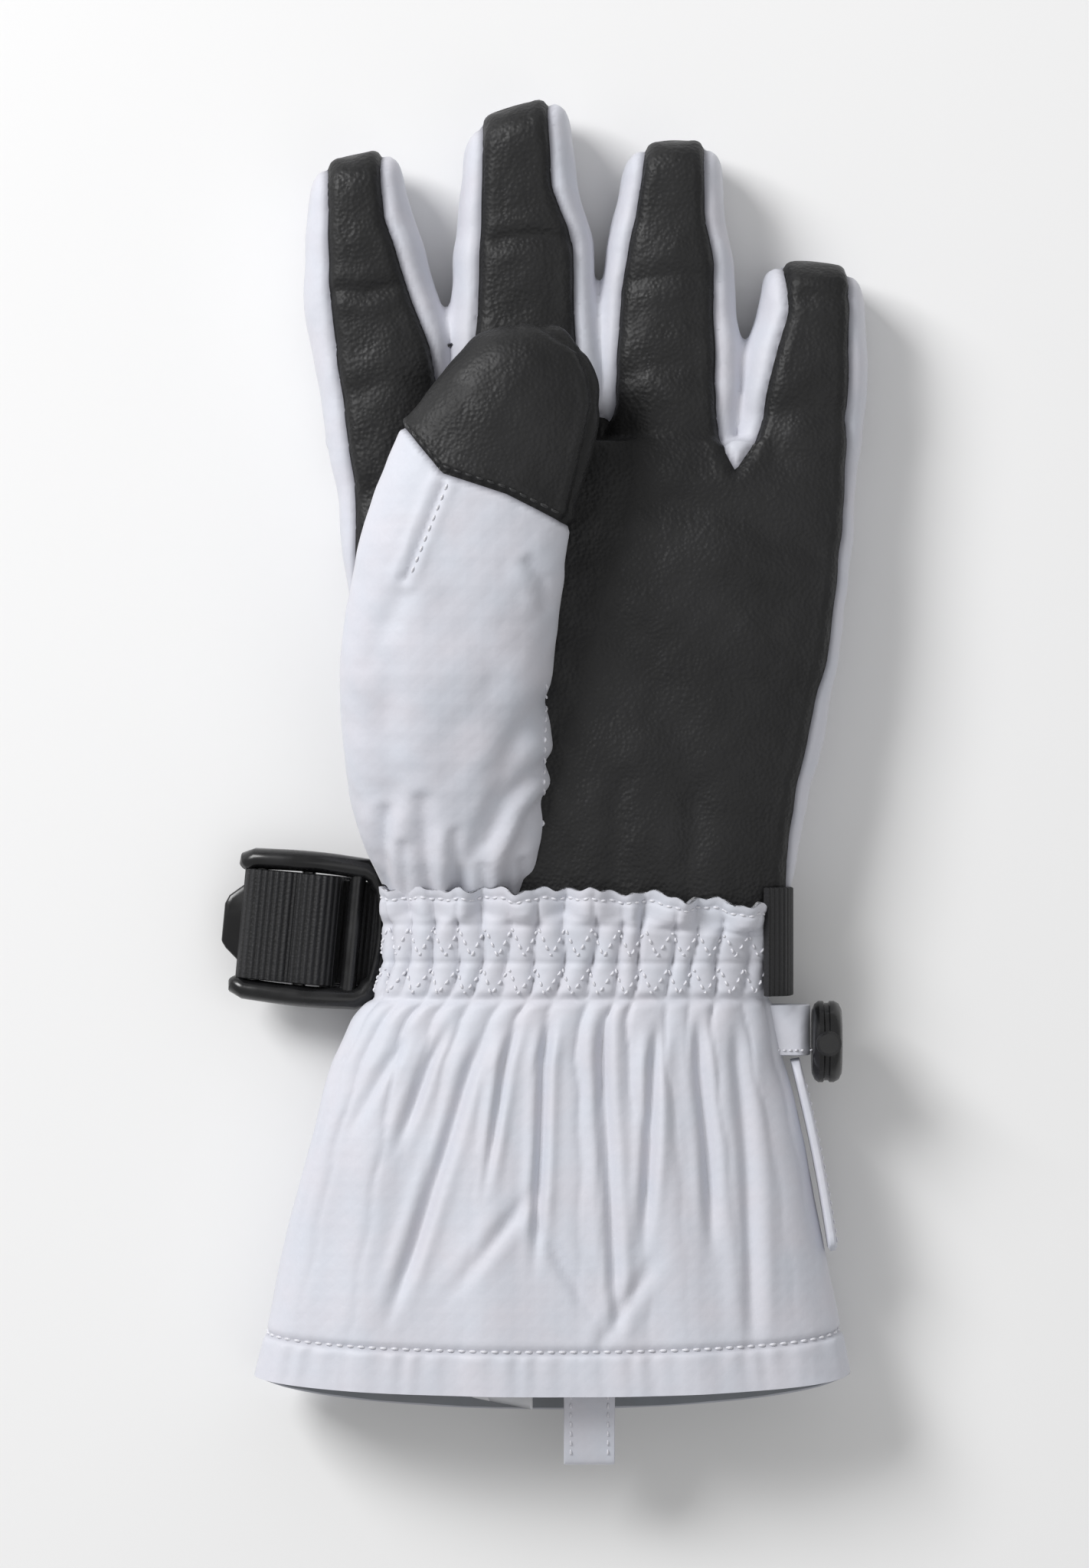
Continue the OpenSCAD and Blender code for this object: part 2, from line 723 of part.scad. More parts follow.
module finger_fill(f) {
    color(padding)
        patch(tip_at(f), tip_pole_rows, round_angles, d_fill, d_fill + fill_t, wrap = true, pole = true);
}

module finger_lining(f) {
    color(fleece)
        patch(tip_at(f), tip_pole_rows, round_angles, d_lining, d_inside, wrap = true, pole = true);
}

// The glove's frame: the box's middle goes to the origin
x_low = anchor_x - 2 * bar_pitch - bar_d / 2 - tab_reach;
x_high = root_x(3) + fingers[3][3] + little_w / 2;
y_low = loop_at.y - loop_reach * cos(loop_droop) - loop_r - loop_t / 2;
y_high = palm_len + middle_len;
frame_shift = [-(x_low + x_high) / 2, -(y_low + y_high) / 2, 0];

// Puts a piece in the glove's frame
module place() {
    translate(frame_shift)
        children();
}

place() palm_panel();
place() back_panel();
place() fourchettes();
place() thumb_gusset();
place() hand_fill();
place() hand_lining();
place() cuff_shell();
place() wrist_elastic();
place() cuff_hem();
place() cuff_lining();
place() drawcord();
place() strap();
place() buckle_anchor();
place() buckle_frame();
place() strap_wrap();
place() strap_tail();
place() lock_loop();
place() lock_body();
place() lock_spring();
place() lock_plunger();
place() pull_tab();
place() hang_loop();
place() care_label();
place() thumb_sleeve();
place() thumb_front();
place() thumb_cap();
place() thumb_fill();
place() thumb_lining();
place() finger_front(0);  // index_front
place() finger_gusset(0);  // index_gusset
place() finger_back(0);  // index_back
place() finger_fill(0);  // index_fill
place() finger_lining(0);  // index_lining
place() finger_front(1);  // middle_front
place() finger_gusset(1);  // middle_gusset
place() finger_back(1);  // middle_back
place() finger_fill(1);  // middle_fill
place() finger_lining(1);  // middle_lining
place() finger_front(2);  // ring_front
place() finger_gusset(2);  // ring_gusset
place() finger_back(2);  // ring_back
place() finger_fill(2);  // ring_fill
place() finger_lining(2);  // ring_lining
place() finger_front(3);  // little_front
place() finger_gusset(3);  // little_gusset
place() finger_back(3);  // little_back
place() finger_fill(3);  // little_fill
place() finger_lining(3);  // little_lining
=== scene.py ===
"""A grey and black ski glove, palm side up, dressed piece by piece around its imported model."""

import json
import logging
import math
from dataclasses import dataclass
from enum import Enum
from typing import Callable

import bmesh
import bpy
import numpy as np
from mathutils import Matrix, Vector
from mathutils.bvhtree import BVHTree

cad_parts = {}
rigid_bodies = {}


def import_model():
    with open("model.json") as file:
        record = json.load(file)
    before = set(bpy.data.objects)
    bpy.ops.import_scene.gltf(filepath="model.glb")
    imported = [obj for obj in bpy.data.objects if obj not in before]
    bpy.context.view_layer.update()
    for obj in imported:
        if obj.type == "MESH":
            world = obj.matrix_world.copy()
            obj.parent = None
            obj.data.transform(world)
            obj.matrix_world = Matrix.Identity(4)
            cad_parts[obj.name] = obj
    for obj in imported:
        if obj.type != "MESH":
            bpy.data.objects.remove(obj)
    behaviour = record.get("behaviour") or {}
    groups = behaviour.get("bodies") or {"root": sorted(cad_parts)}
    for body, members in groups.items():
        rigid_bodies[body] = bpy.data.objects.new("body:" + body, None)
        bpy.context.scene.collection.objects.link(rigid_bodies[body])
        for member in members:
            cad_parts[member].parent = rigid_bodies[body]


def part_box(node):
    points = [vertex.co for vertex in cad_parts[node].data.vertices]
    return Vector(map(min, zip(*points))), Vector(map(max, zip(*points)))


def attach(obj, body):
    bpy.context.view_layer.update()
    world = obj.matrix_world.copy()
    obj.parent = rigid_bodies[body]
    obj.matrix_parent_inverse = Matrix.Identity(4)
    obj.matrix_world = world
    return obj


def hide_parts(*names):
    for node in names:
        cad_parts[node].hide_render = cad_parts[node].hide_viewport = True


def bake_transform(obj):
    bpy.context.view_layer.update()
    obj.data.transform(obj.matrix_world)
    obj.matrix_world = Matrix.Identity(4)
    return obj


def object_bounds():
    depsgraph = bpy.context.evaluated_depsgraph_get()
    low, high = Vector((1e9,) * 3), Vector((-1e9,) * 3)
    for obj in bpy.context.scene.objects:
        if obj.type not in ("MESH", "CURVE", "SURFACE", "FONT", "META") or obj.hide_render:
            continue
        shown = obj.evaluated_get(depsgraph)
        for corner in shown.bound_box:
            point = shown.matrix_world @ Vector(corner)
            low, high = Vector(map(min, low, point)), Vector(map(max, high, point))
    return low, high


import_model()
CAD_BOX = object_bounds()

MM = 0.001
FLOOR_GAP = 0.05
Array = np.ndarray
LOG = logging.getLogger("glove")


class Body(Enum):
    """The moving bodies that a piece can ride on."""

    HAND = "hand"
    THUMB = "thumb"
    BUCKLE = "buckle"
    STRAP_END = "strap_end"
    PLUNGER = "plunger"
    TAB = "tab"
    LOOP = "loop"


@dataclass(frozen=True)
class Layout:
    """Where the maker's drawing, in millimetres, lies in the shared frame, in metres."""

    x: float
    y: float

    @classmethod
    def from_frame(cls) -> "Layout":
        """Read the drawing's origin from the strap and the cuff.

        Returns:
            The layout that every piece is placed with.
        """
        low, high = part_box("strap")
        cuff_low, cuff_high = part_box("cuff_shell")
        return cls((cuff_low[0] + cuff_high[0]) / 2 + 0.5 * MM, (low[1] + high[1]) / 2)

    def cloud(self, points: Array) -> Array:
        """Move drawing points into the frame.

        Args:
            points: Rows of x, y, z in millimetres.

        Returns:
            The same points in metres.
        """
        return np.asarray(points, dtype=float) * MM + np.array([self.x, self.y, 0.0])

    def point(self, x: float, y: float, z: float) -> tuple[float, float, float]:
        """Return one drawing point in the frame, in metres."""
        return (x * MM + self.x, y * MM + self.y, z * MM)

    def drawn(self, node: str) -> tuple[Array, Array]:
        """Return a CAD node's lowest and highest corners in the drawing, in millimetres."""
        low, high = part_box(node)
        shift = np.array([self.x, self.y, 0.0])
        return (np.array(low) - shift) / MM, (np.array(high) - shift) / MM


def smoothstep(value: Array, low: float, high: float) -> Array:
    """Rise smoothly from 0 at low to 1 at high."""
    part = np.clip((np.asarray(value, dtype=float) - low) / (high - low), 0.0, 1.0)
    return part * part * (3.0 - 2.0 * part)


def eased(at: Array, stations: Array, values: Array, spread: float = 3.0) -> Array:
    """Interpolate between stations with the corners rounded off.

    Args:
        at: Where the values are wanted.
        stations: Rising stations.
        values: The value at each station.
        spread: How far each way a corner is rounded.

    Returns:
        The eased values.
    """
    offsets = np.linspace(-spread, spread, 9)
    weights = 1.0 + np.cos(np.pi * offsets / (spread * 1.15))
    total = sum(w * np.interp(np.asarray(at) + o, stations, values) for o, w in zip(offsets, weights))
    return total / weights.sum()


def ripple(points: Array, size: float, seed: int, axes: tuple[float, float, float] = (1, 1, 1)) -> Array:
    """Give smooth, repeatable unevenness between about -1 and 1.

    Args:
        points: Rows of x, y, z in millimetres.
        size: The wavelength in millimetres.
        seed: Seeds the waves.
        axes: How much each axis counts.

    Returns:
        One number a point.
    """
    rng = np.random.default_rng(seed)
    total = np.zeros(len(points))
    for _ in range(7):
        way = rng.normal(size=3) * np.array(axes)
        way *= 2 * np.pi / (size * rng.uniform(0.75, 1.5) * np.linalg.norm(way))
        total += np.sin(points @ way + rng.uniform(0, 6.28))
    return total / 3.7


def line_distance(points: Array, line: Array, closed: bool = False) -> Array:
    """Measure how far points lie from a line of straight parts, seen from above.

    Args:
        points: Rows of at least x, y.
        line: The line's corners.
        closed: Whether the last corner joins the first.

    Returns:
        The distance of each point.
    """
    flat = points[:, :2]
    corners = np.asarray(line, dtype=float)
    ends = np.roll(corners, -1, axis=0) if closed else corners[1:]
    starts = corners if closed else corners[:-1]
    nearest = np.full(len(flat), 1e9)
    for start, end in zip(starts, ends):
        way = end - start
        along = np.clip(((flat - start) @ way) / max(way @ way, 1e-9), 0.0, 1.0)
        nearest = np.minimum(nearest, np.linalg.norm(flat - start - along[:, None] * way, axis=1))
    return nearest


def inside(points: Array, outline: Array) -> Array:
    """Tell which points lie inside a closed outline, seen from above."""
    x, y = points[:, 0], points[:, 1]
    result = np.zeros(len(points), dtype=bool)
    corners = np.asarray(outline, dtype=float)
    for (ax, ay), (bx, by) in zip(corners, np.roll(corners, -1, axis=0)):
        if ay != by:
            crosses = ((ay > y) != (by > y)) & (x < (bx - ax) * (y - ay) / (by - ay) + ax)
            result ^= crosses
    return result


def within(points: Array, outline: Array) -> Array:
    """Give the distance inside a closed outline, negative outside it."""
    distance = line_distance(points, outline, closed=True)
    return np.where(inside(points, outline), distance, -distance)


@dataclass
class Skin:
    """A triangle mesh in the drawing's millimetres, with numbers held at its vertices."""

    points: Array
    faces: Array
    data: dict[str, Array]

    @classmethod
    def from_rings(cls, rings: list[Array], close_start: bool = True, close_end: bool = True) -> "Skin":
        """Join rings of equal length into a tube.

        Args:
            rings: Each ring's points, in the same order round.
            close_start: Whether the first ring is filled.
            close_end: Whether the last ring is filled.

        Returns:
            The tube as triangles that face outwards.
        """
        count = len(rings[0])
        points = [np.asarray(ring, dtype=float) for ring in rings]
        faces = []
        for row in range(len(rings) - 1):
            a = np.arange(count) + row * count
            b = np.roll(np.arange(count), -1) + row * count
            faces += [np.stack([a, b, b + count], 1), np.stack([a, b + count, a + count], 1)]
        total = len(rings) * count
        for wanted, row, flip in ((close_start, 0, True), (close_end, len(rings) - 1, False)):
            if wanted:
                points.append(points[row].mean(axis=0)[None, :])
                a = np.arange(count) + row * count
                b = np.roll(np.arange(count), -1) + row * count
                hub = np.full(count, total)
                total += 1
                faces.append(np.stack([b, a, hub] if flip else [a, b, hub], 1))
        return cls(np.concatenate(points), np.concatenate(faces), {}).facing_out()

    def facing_out(self) -> "Skin":
        """Turn every face round if the mesh encloses a negative volume."""
        a, b, c = (self.points[self.faces[:, i]] for i in range(3))
        if np.einsum("ij,ij->i", a, np.cross(b, c)).sum() < 0:
            self.faces = self.faces[:, ::-1].copy()
        return self

    def normals(self) -> Array:
        """Return the area-weighted normal of each vertex."""
        a, b, c = (self.points[self.faces[:, i]] for i in range(3))
        across = np.cross(b - a, c - a)
        total = np.zeros_like(self.points)
        for i in range(3):
            np.add.at(total, self.faces[:, i], across)
        return total / np.maximum(np.linalg.norm(total, axis=1), 1e-12)[:, None]

    def snapped(self, level: Callable[[Array], Array], reach: float) -> "Skin":
        """Slide vertices near a seam onto it, so that the cut leaves no thin faces.

        Args:
            level: Gives the signed distance from the seam.
            reach: How near a vertex has to be, in millimetres.

        Returns:
            This skin.
        """
        value = level(self.points)
        near = np.abs(value) < reach
        spot = self.points[near]
        step = 0.05
        slope = np.stack([(level(spot + step * axis) - level(spot - step * axis)) / (2 * step)
                          for axis in np.eye(3)], 1)
        size = np.maximum((slope * slope).sum(axis=1), 0.05)
        self.points[near] -= slope * (value[near] / size)[:, None]
        return self

    def carved(self, name: str, level: Callable[[Array], Array], reach: float = 0.22) -> "Skin":
        """Put edges exactly where a level is nought, and hold the level at the vertices.

        Args:
            name: What the level is held as.
            level: Gives the signed distance from the seam.
            reach: How near a vertex is slid onto the seam.

        Returns:
            A new skin with the same surface.
        """
        self.snapped(level, reach)
        value = level(self.points)
        value[np.abs(value) < 0.02] = 0.0
        data = dict(self.data, **{name: value})
        high = value[self.faces] > 0
        low = value[self.faces] < 0
        mixed = high.any(axis=1) & low.any(axis=1)
        faces = [self.faces[~mixed]]
        cut, up = self.faces[mixed], value[self.faces[mixed]] > 0
        count = up.sum(axis=1)
        lone = np.where(count == 1, np.argmax(up, axis=1), np.argmin(up, axis=1))
        order = (lone[:, None] + np.arange(3)) % 3
        cut = np.take_along_axis(cut, order, axis=1)
        a, b, c = cut[:, 0], cut[:, 1], cut[:, 2]
        ends = np.sort(np.concatenate([np.stack([a, b], 1), np.stack([a, c], 1)]), axis=1)
        unique, back = np.unique(ends, axis=0, return_inverse=True)
        back = back.reshape(-1)
        start, end = value[unique[:, 0]], value[unique[:, 1]]
        part = np.clip(start / np.where(start == end, 1.0, start - end), 0.0, 1.0)
        fresh = {key: held[unique[:, 0]] + (held[unique[:, 1]] - held[unique[:, 0]])
                 * (part if held.ndim == 1 else part[:, None]) for key, held in data.items()}
        fresh[name] = np.zeros(len(unique))
        first, last = self.points[unique[:, 0]], self.points[unique[:, 1]]
        spots = first + (last - first) * part[:, None]
        base = len(self.points)
        ab, ac = back[:len(a)] + base, back[len(a):] + base
        faces += [np.stack([a, ab, ac], 1), np.stack([ab, b, c], 1), np.stack([ab, c, ac], 1)]
        data = {key: np.concatenate([held, fresh[key]]) for key, held in data.items()}
        return Skin(np.concatenate([self.points, spots]), np.concatenate(faces), data).welded()

    def welded(self) -> "Skin":
        """Merge vertices that share a place and drop the faces that vanish."""
        grid = np.round(self.points * 1e4).astype(np.int64)
        _, first, back = np.unique(grid, axis=0, return_index=True, return_inverse=True)
        faces = back.reshape(-1)[self.faces]
        whole = (faces[:, 0] != faces[:, 1]) & (faces[:, 1] != faces[:, 2]) & (faces[:, 0] != faces[:, 2])
        data = {key: held[first] for key, held in self.data.items()}
        return Skin(self.points[first], faces[whole], data)

    def side(self, name: str) -> Array:
        """Tell which faces lie on a level's high side."""
        return self.data[name][self.faces].mean(axis=1) > 0

    def part(self, chosen: Array) -> "Skin":
        """Keep only the chosen faces and their vertices."""
        used, back = np.unique(self.faces[chosen], return_inverse=True)
        data = {key: held[used] for key, held in self.data.items()}
        return Skin(self.points[used], back.reshape(-1, 3), data)

    def thick(self, wall: float) -> "Skin":
        """Give the skin a wall inwards and close its edges.

        Args:
            wall: The wall in millimetres.

        Returns:
            A closed skin whose outer face is this one.
        """
        normal = self.data["normal"] if "normal" in self.data else self.normals()
        count = len(self.points)
        inner = self.points - normal * wall
        edges = np.concatenate([self.faces[:, [0, 1]], self.faces[:, [1, 2]], self.faces[:, [2, 0]]])
        keys = np.sort(edges, axis=1)
        _, first, times = np.unique(keys, axis=0, return_index=True, return_counts=True)
        rim = edges[first[times == 1]]
        walls = [np.stack([rim[:, 1], rim[:, 0], rim[:, 0] + count], 1),
                 np.stack([rim[:, 1], rim[:, 0] + count, rim[:, 1] + count], 1)]
        faces = np.concatenate([self.faces, self.faces[:, ::-1] + count] + walls)
        data = {key: np.concatenate([held, -held if key == "normal" else held])
                for key, held in self.data.items()}
        return Skin(np.concatenate([self.points, inner]), faces, data)

    def build(self, name: str, layout: Layout, material: bpy.types.Material) -> bpy.types.Object:
        """Make the Blender object.

        Args:
            name: The piece's name.
            layout: Places the drawing in the frame.
            material: The piece's finish.

        Returns:
            The object, at the world origin.
        """
        mesh = bpy.data.meshes.new(name)
        mesh.from_pydata(layout.cloud(self.points).tolist(), [], self.faces.tolist())
        mesh.polygons.foreach_set("use_smooth", np.ones(len(mesh.polygons), dtype=bool))
        for key, held in self.data.items():
            if held.ndim == 1 and key in ("seam", "along", "around"):
                layer = mesh.attributes.new(key, "FLOAT", "POINT")
                layer.data.foreach_set("value", held.astype(np.float32))
        mesh.materials.append(material)
        mesh.update()
        if "normal" in self.data:
            mesh.normals_split_custom_set_from_vertices(self.data["normal"].tolist())
        piece = bpy.data.objects.new(name, mesh)
        bpy.context.scene.collection.objects.link(piece)
        return piece


def melt(skins: list[Skin], voxel: float, passes: int, factor: float = 0.5) -> Skin:
    """Join overlapping closed skins into one smooth skin.

    Args:
        skins: The skins to join.
        voxel: The grid the surface is rebuilt on, in millimetres.
        passes: How often the surface is smoothed.
        factor: How strongly it is smoothed each time.

    Returns:
        One closed skin of triangles.
    """
    base, points, faces = 0, [], []
    for skin in skins:
        points.append(skin.points)
        faces.append(skin.faces + base)
        base += len(skin.points)
    mesh = bpy.data.meshes.new("melt")
    mesh.from_pydata((np.concatenate(points) * MM).tolist(), [], np.concatenate(faces).tolist())
    mesh.update()
    block = bpy.data.objects.new("melt", mesh)
    bpy.context.scene.collection.objects.link(block)
    bpy.ops.object.select_all(action="DESELECT")
    block.select_set(True)
    bpy.context.view_layer.objects.active = block
    grid = block.modifiers.new("grid", "REMESH")
    grid.mode = "VOXEL"
    grid.voxel_size = voxel * MM
    bpy.ops.object.modifier_apply(modifier="grid")
    ease = block.modifiers.new("ease", "SMOOTH")
    ease.factor, ease.iterations = factor, passes
    bpy.ops.object.modifier_apply(modifier="ease")
    mesh = block.data
    mesh.calc_loop_triangles()
    rounded = np.empty(len(mesh.vertices) * 3)
    mesh.vertices.foreach_get("co", rounded)
    triangles = np.empty(len(mesh.loop_triangles) * 3, dtype=np.int32)
    mesh.loop_triangles.foreach_get("vertices", triangles)
    bpy.data.objects.remove(block)
    return Skin(rounded.reshape(-1, 3) / MM, triangles.reshape(-1, 3).astype(np.int64), {}).facing_out()


def ring(left: float, right: float, low: float, high: float, y: float,
         power: float = 2.4, floor_power: float = 3.2, count: int = 72, tilt: float = 0.0) -> Array:
    """Draw one rounded section across a finger, the hand or the cuff.

    Args:
        left: The lowest x.
        right: The highest x.
        low: The lowest z.
        high: The highest z.
        y: Where the section stands.
        power: How square the upper half is.
        floor_power: How square the lower half is.
        count: Points round the section.
        tilt: How far y rises for each millimetre of x.

    Returns:
        The section's points.
    """
    angle = np.linspace(0, 2 * np.pi, count, endpoint=False)
    c, s = np.cos(angle), np.sin(angle)
    square = np.where(s > 0, power, floor_power)
    x = (right - left) / 2 * np.sign(c) * np.abs(c) ** (2 / square)
    z = (low + high) / 2 + (high - low) / 2 * np.sign(s) * np.abs(s) ** (2 / square)
    return np.stack([(left + right) / 2 + x, y + tilt * x, z], 1)


class Graph:
    """The nodes of one procedural finish."""

    def __init__(self, name: str, colour: tuple[float, float, float], roughness: float,
                 **fixed: float) -> None:
        """Start a finish.

        Args:
            name: The material's name.
            colour: Its base colour.
            roughness: How dull it is.
            **fixed: Other shader values, with underscores for spaces.
        """
        self.material = bpy.data.materials.new(name)
        self.material.use_nodes = True
        self.tree = self.material.node_tree
        self.shader = self.tree.nodes["Principled BSDF"]
        self.shader.inputs["Base Color"].default_value = (*colour, 1.0)
        self.shader.inputs["Roughness"].default_value = roughness
        for key, value in fixed.items():
            self.shader.inputs[key.replace("_", " ")].default_value = value
        self.place = self.add("TexCoord").outputs["Object"]

    def add(self, kind: str, props: dict | None = None, sockets: dict | None = None) -> bpy.types.Node:
        """Add a node.

        Args:
            kind: The node's type, without its prefix.
            props: Settings on the node.
            sockets: Inputs by name or number, as values or as outputs to link.

        Returns:
            The node.
        """
        node = self.tree.nodes.new("ShaderNode" + kind)
        for key, value in (props or {}).items():
            setattr(node, key, value)
        for key, value in (sockets or {}).items():
            if isinstance(value, bpy.types.NodeSocket):
                self.tree.links.new(value, node.inputs[key])
            else:
                node.inputs[key].default_value = value
        return node

    def noise(self, size_mm: float, detail: float = 3.0,
              stretch: tuple[float, float, float] = (1, 1, 1)) -> bpy.types.NodeSocket:
        """Return uneven noise whose features are about size_mm across."""
        turned = self.add("Mapping", {}, {"Vector": self.place, "Scale": stretch}).outputs[0]
        return self.add("TexNoise", {},
                        {"Vector": turned, "Scale": 1000 / size_mm, "Detail": detail}).outputs["Fac"]

    def attribute(self, name: str) -> bpy.types.NodeSocket:
        """Return a number held on the mesh."""
        return self.add("Attribute", {"attribute_name": name}).outputs["Fac"]

    def maths(self, operation: str, first: object, second: object = 0.0) -> bpy.types.NodeSocket:
        """Return a sum, product or other simple result."""
        return self.add("Math", {"operation": operation}, {0: first, 1: second}).outputs[0]

    def ramp(self, factor: bpy.types.NodeSocket,
             stops: list[tuple[float, tuple[float, float, float]]]) -> bpy.types.NodeSocket:
        """Colour a factor by stops."""
        node = self.add("ValToRGB", {}, {"Fac": factor})
        band = node.color_ramp
        while len(band.elements) < len(stops):
            band.elements.new(0.5)
        for element, (place, colour) in zip(band.elements, stops):
            element.position, element.color = place, (*colour, 1.0)
        return node.outputs["Color"]

    def shade(self, colour: bpy.types.NodeSocket, factor: bpy.types.NodeSocket,
              dark: tuple[float, float, float]) -> bpy.types.NodeSocket:
        """Blend a colour towards a darker one by a factor."""
        node = self.add("Mix", {"data_type": "RGBA"}, {"Factor": factor})
        self.tree.links.new(colour, node.inputs[6])
        node.inputs[7].default_value = (*dark, 1.0)
        return node.outputs[2]

    def bump(self, height: bpy.types.NodeSocket, depth_mm: float, strength: float = 1.0,
             under: bpy.types.NodeSocket | None = None) -> bpy.types.NodeSocket:
        """Turn a height into a normal, over an earlier one if it is given."""
        sockets = {"Height": height, "Distance": depth_mm * MM, "Strength": strength}
        if under is not None:
            sockets["Normal"] = under
        return self.add("Bump", {}, sockets).outputs["Normal"]

    def finish(self, colour: bpy.types.NodeSocket | None = None,
               normal: bpy.types.NodeSocket | None = None,
               roughness: bpy.types.NodeSocket | None = None) -> bpy.types.Material:
        """Wire the results to the shader and return the material."""
        for key, value in (("Base Color", colour), ("Normal", normal), ("Roughness", roughness)):
            if value is not None:
                self.tree.links.new(value, self.shader.inputs[key])
        return self.material


def scaled(tone: tuple[float, float, float], by: float) -> tuple[float, float, float]:
    """Brighten or darken a tone."""
    return tuple(part * by for part in tone)


@dataclass(frozen=True)
class Leather:
    """Black glove leather with a fine pebbled grain."""

    name: str = "glove_leather"
    tone: tuple[float, float, float] = (0.0135, 0.0135, 0.014)
    grain_mm: float = 0.75

    def build(self) -> bpy.types.Material:
        """Wire the finish."""
        g = Graph(self.name, self.tone, 0.5, Specular_IOR_Level=0.3)
        cells = g.add("TexVoronoi", {"feature": "SMOOTH_F1"},
                      {"Vector": g.place, "Scale": 1000 / self.grain_mm,
                       "Smoothness": 0.6}).outputs["Distance"]
        creases = g.noise(3.5, 4.0, (1.0, 0.6, 1.0))
        patches = g.noise(14.0, 2.0)
        colour = g.ramp(patches, [(0.3, scaled(self.tone, 0.82)), (0.7, scaled(self.tone, 1.3))])
        # Painted shade: darkens the leather along the seam grooves by the seam attribute.
        colour = g.shade(colour, g.attribute("seam"), scaled(self.tone, 0.25))
        normal = g.bump(creases, 0.35, 0.5, g.bump(cells, 0.16, 0.8))
        roughness = g.add("MapRange", {}, {"Value": creases, "From Min": 0.3, "From Max": 0.7,
                    "To Min": 0.42, "To Max": 0.6}).outputs[0]
        return g.finish(colour, normal, roughness)


@dataclass(frozen=True)
class Woven:
    """Tightly woven shell cloth with a faint warm and cool cast."""

    name: str = "shell_cloth"
    warm: tuple[float, float, float] = (0.635, 0.63, 0.685)
    cool: tuple[float, float, float] = (0.61, 0.63, 0.695)
    thread_mm: float = 0.42
    roughness: float = 0.55
    # The colour of the painted shade in the seam grooves and in the hollows between the gathers
    seam: tuple[float, float, float] = (0.16, 0.16, 0.19)

    def build(self) -> bpy.types.Material:
        """Wire the finish."""
        g = Graph(self.name, self.warm, self.roughness, Specular_IOR_Level=0.35, Sheen_Weight=0.25,
                  Sheen_Roughness=0.4)
        across = g.add("TexWave", {"bands_direction": "X"},
                       {"Vector": g.place, "Scale": 50 / self.thread_mm, "Distortion": 0.4}).outputs["Fac"]
        along = g.add("TexWave", {"bands_direction": "Y"},
                      {"Vector": g.place, "Scale": 50 / self.thread_mm, "Distortion": 0.4}).outputs["Fac"]
        weave = g.maths("MAXIMUM", across, along)
        cast = g.noise(9.0, 2.0)
        colour = g.ramp(cast, [(0.3, self.warm), (0.7, self.cool)])
        flecks = g.noise(0.6, 2.0)
        colour = g.shade(colour, g.maths("MULTIPLY", flecks, 0.16), scaled(self.cool, 0.7))
        # Painted shade: darkens the cloth towards the seam colour in the seam grooves and the gathers'
        # hollows.
        colour = g.shade(colour, g.attribute("seam"), self.seam)
        normal = g.bump(weave, 0.05, 0.5, g.bump(g.noise(6.0, 4.0), 0.5, 0.35))
        return g.finish(colour, normal)


@dataclass(frozen=True)
class Moulded:
    """Smooth black moulded plastic, a little worn on its broad faces."""

    name: str = "moulded_plastic"
    tone: tuple[float, float, float] = (0.007, 0.007, 0.0075)
    roughness: float = 0.22

    def build(self) -> bpy.types.Material:
        """Wire the finish."""
        g = Graph(self.name, self.tone, self.roughness, Specular_IOR_Level=0.45, Coat_Weight=0.1,
                  Coat_Roughness=0.2)
        haze = g.noise(5.0, 4.0)
        colour = g.ramp(haze, [(0.35, self.tone), (0.75, scaled(self.tone, 1.7))])
        roughness = g.add("MapRange", {}, {"Value": haze, "From Min": 0.3, "From Max": 0.7,
                    "To Min": self.roughness - 0.06,
                    "To Max": self.roughness + 0.16}).outputs[0]
        return g.finish(colour, g.bump(g.noise(1.2, 3.0), 0.02, 0.6), roughness)


@dataclass(frozen=True)
class Webbing:
    """Black ribbed webbing, its ribs lying across the strap."""

    name: str = "ribbed_webbing"
    tone: tuple[float, float, float] = (0.011, 0.011, 0.012)
    rib_mm: float = 1.1

    def build(self) -> bpy.types.Material:
        """Wire the finish."""
        g = Graph(self.name, self.tone, 0.6, Specular_IOR_Level=0.35)
        rib = g.maths("SINE", g.maths("MULTIPLY", g.attribute("along"), 2 * math.pi / self.rib_mm))
        yarn = g.noise(0.5, 2.0, (1.0, 1.0, 1.0))
        height = g.maths("ADD", rib, g.maths("MULTIPLY", yarn, 1.2))
        # Painted highlight on the rib crests and painted shade in the troughs, in step with the rib bump.
        colour = g.ramp(g.maths("MULTIPLY_ADD", rib, 0.5),
                        [(0.0, scaled(self.tone, 0.5)), (0.5, scaled(self.tone, 1.8))])
        return g.finish(colour, g.bump(height, 0.14, 1.0))


@dataclass(frozen=True)
class Knit:
    """Soft brushed cloth, as on the lining."""

    name: str
    tone: tuple[float, float, float]
    stitch_mm: float = 0.8
    roughness: float = 0.85

    def build(self) -> bpy.types.Material:
        """Wire the finish."""
        g = Graph(self.name, self.tone, self.roughness, Sheen_Weight=0.3)
        loops = g.add("TexVoronoi", {"feature": "F1"},
                      {"Vector": g.place, "Scale": 1000 / self.stitch_mm}).outputs["Distance"]
        nap = g.noise(0.35, 3.0)
        colour = g.ramp(g.noise(4.0, 3.0), [(0.3, scaled(self.tone, 0.75)), (0.7, scaled(self.tone, 1.2))])
        return g.finish(colour, g.bump(nap, 0.12, 0.6, g.bump(loops, 0.2, 0.7)))


@dataclass(frozen=True)
class Thread:
    """Twisted sewing thread."""

    name: str
    tone: tuple[float, float, float]

    def build(self) -> bpy.types.Material:
        """Wire the finish."""
        g = Graph(self.name, self.tone, 0.5, Sheen_Weight=0.2)
        twist = g.noise(0.25, 2.0)
        colour = g.ramp(twist, [(0.3, scaled(self.tone, 0.8)), (0.7, scaled(self.tone, 1.1))])
        return g.finish(colour, g.bump(twist, 0.05, 0.8))


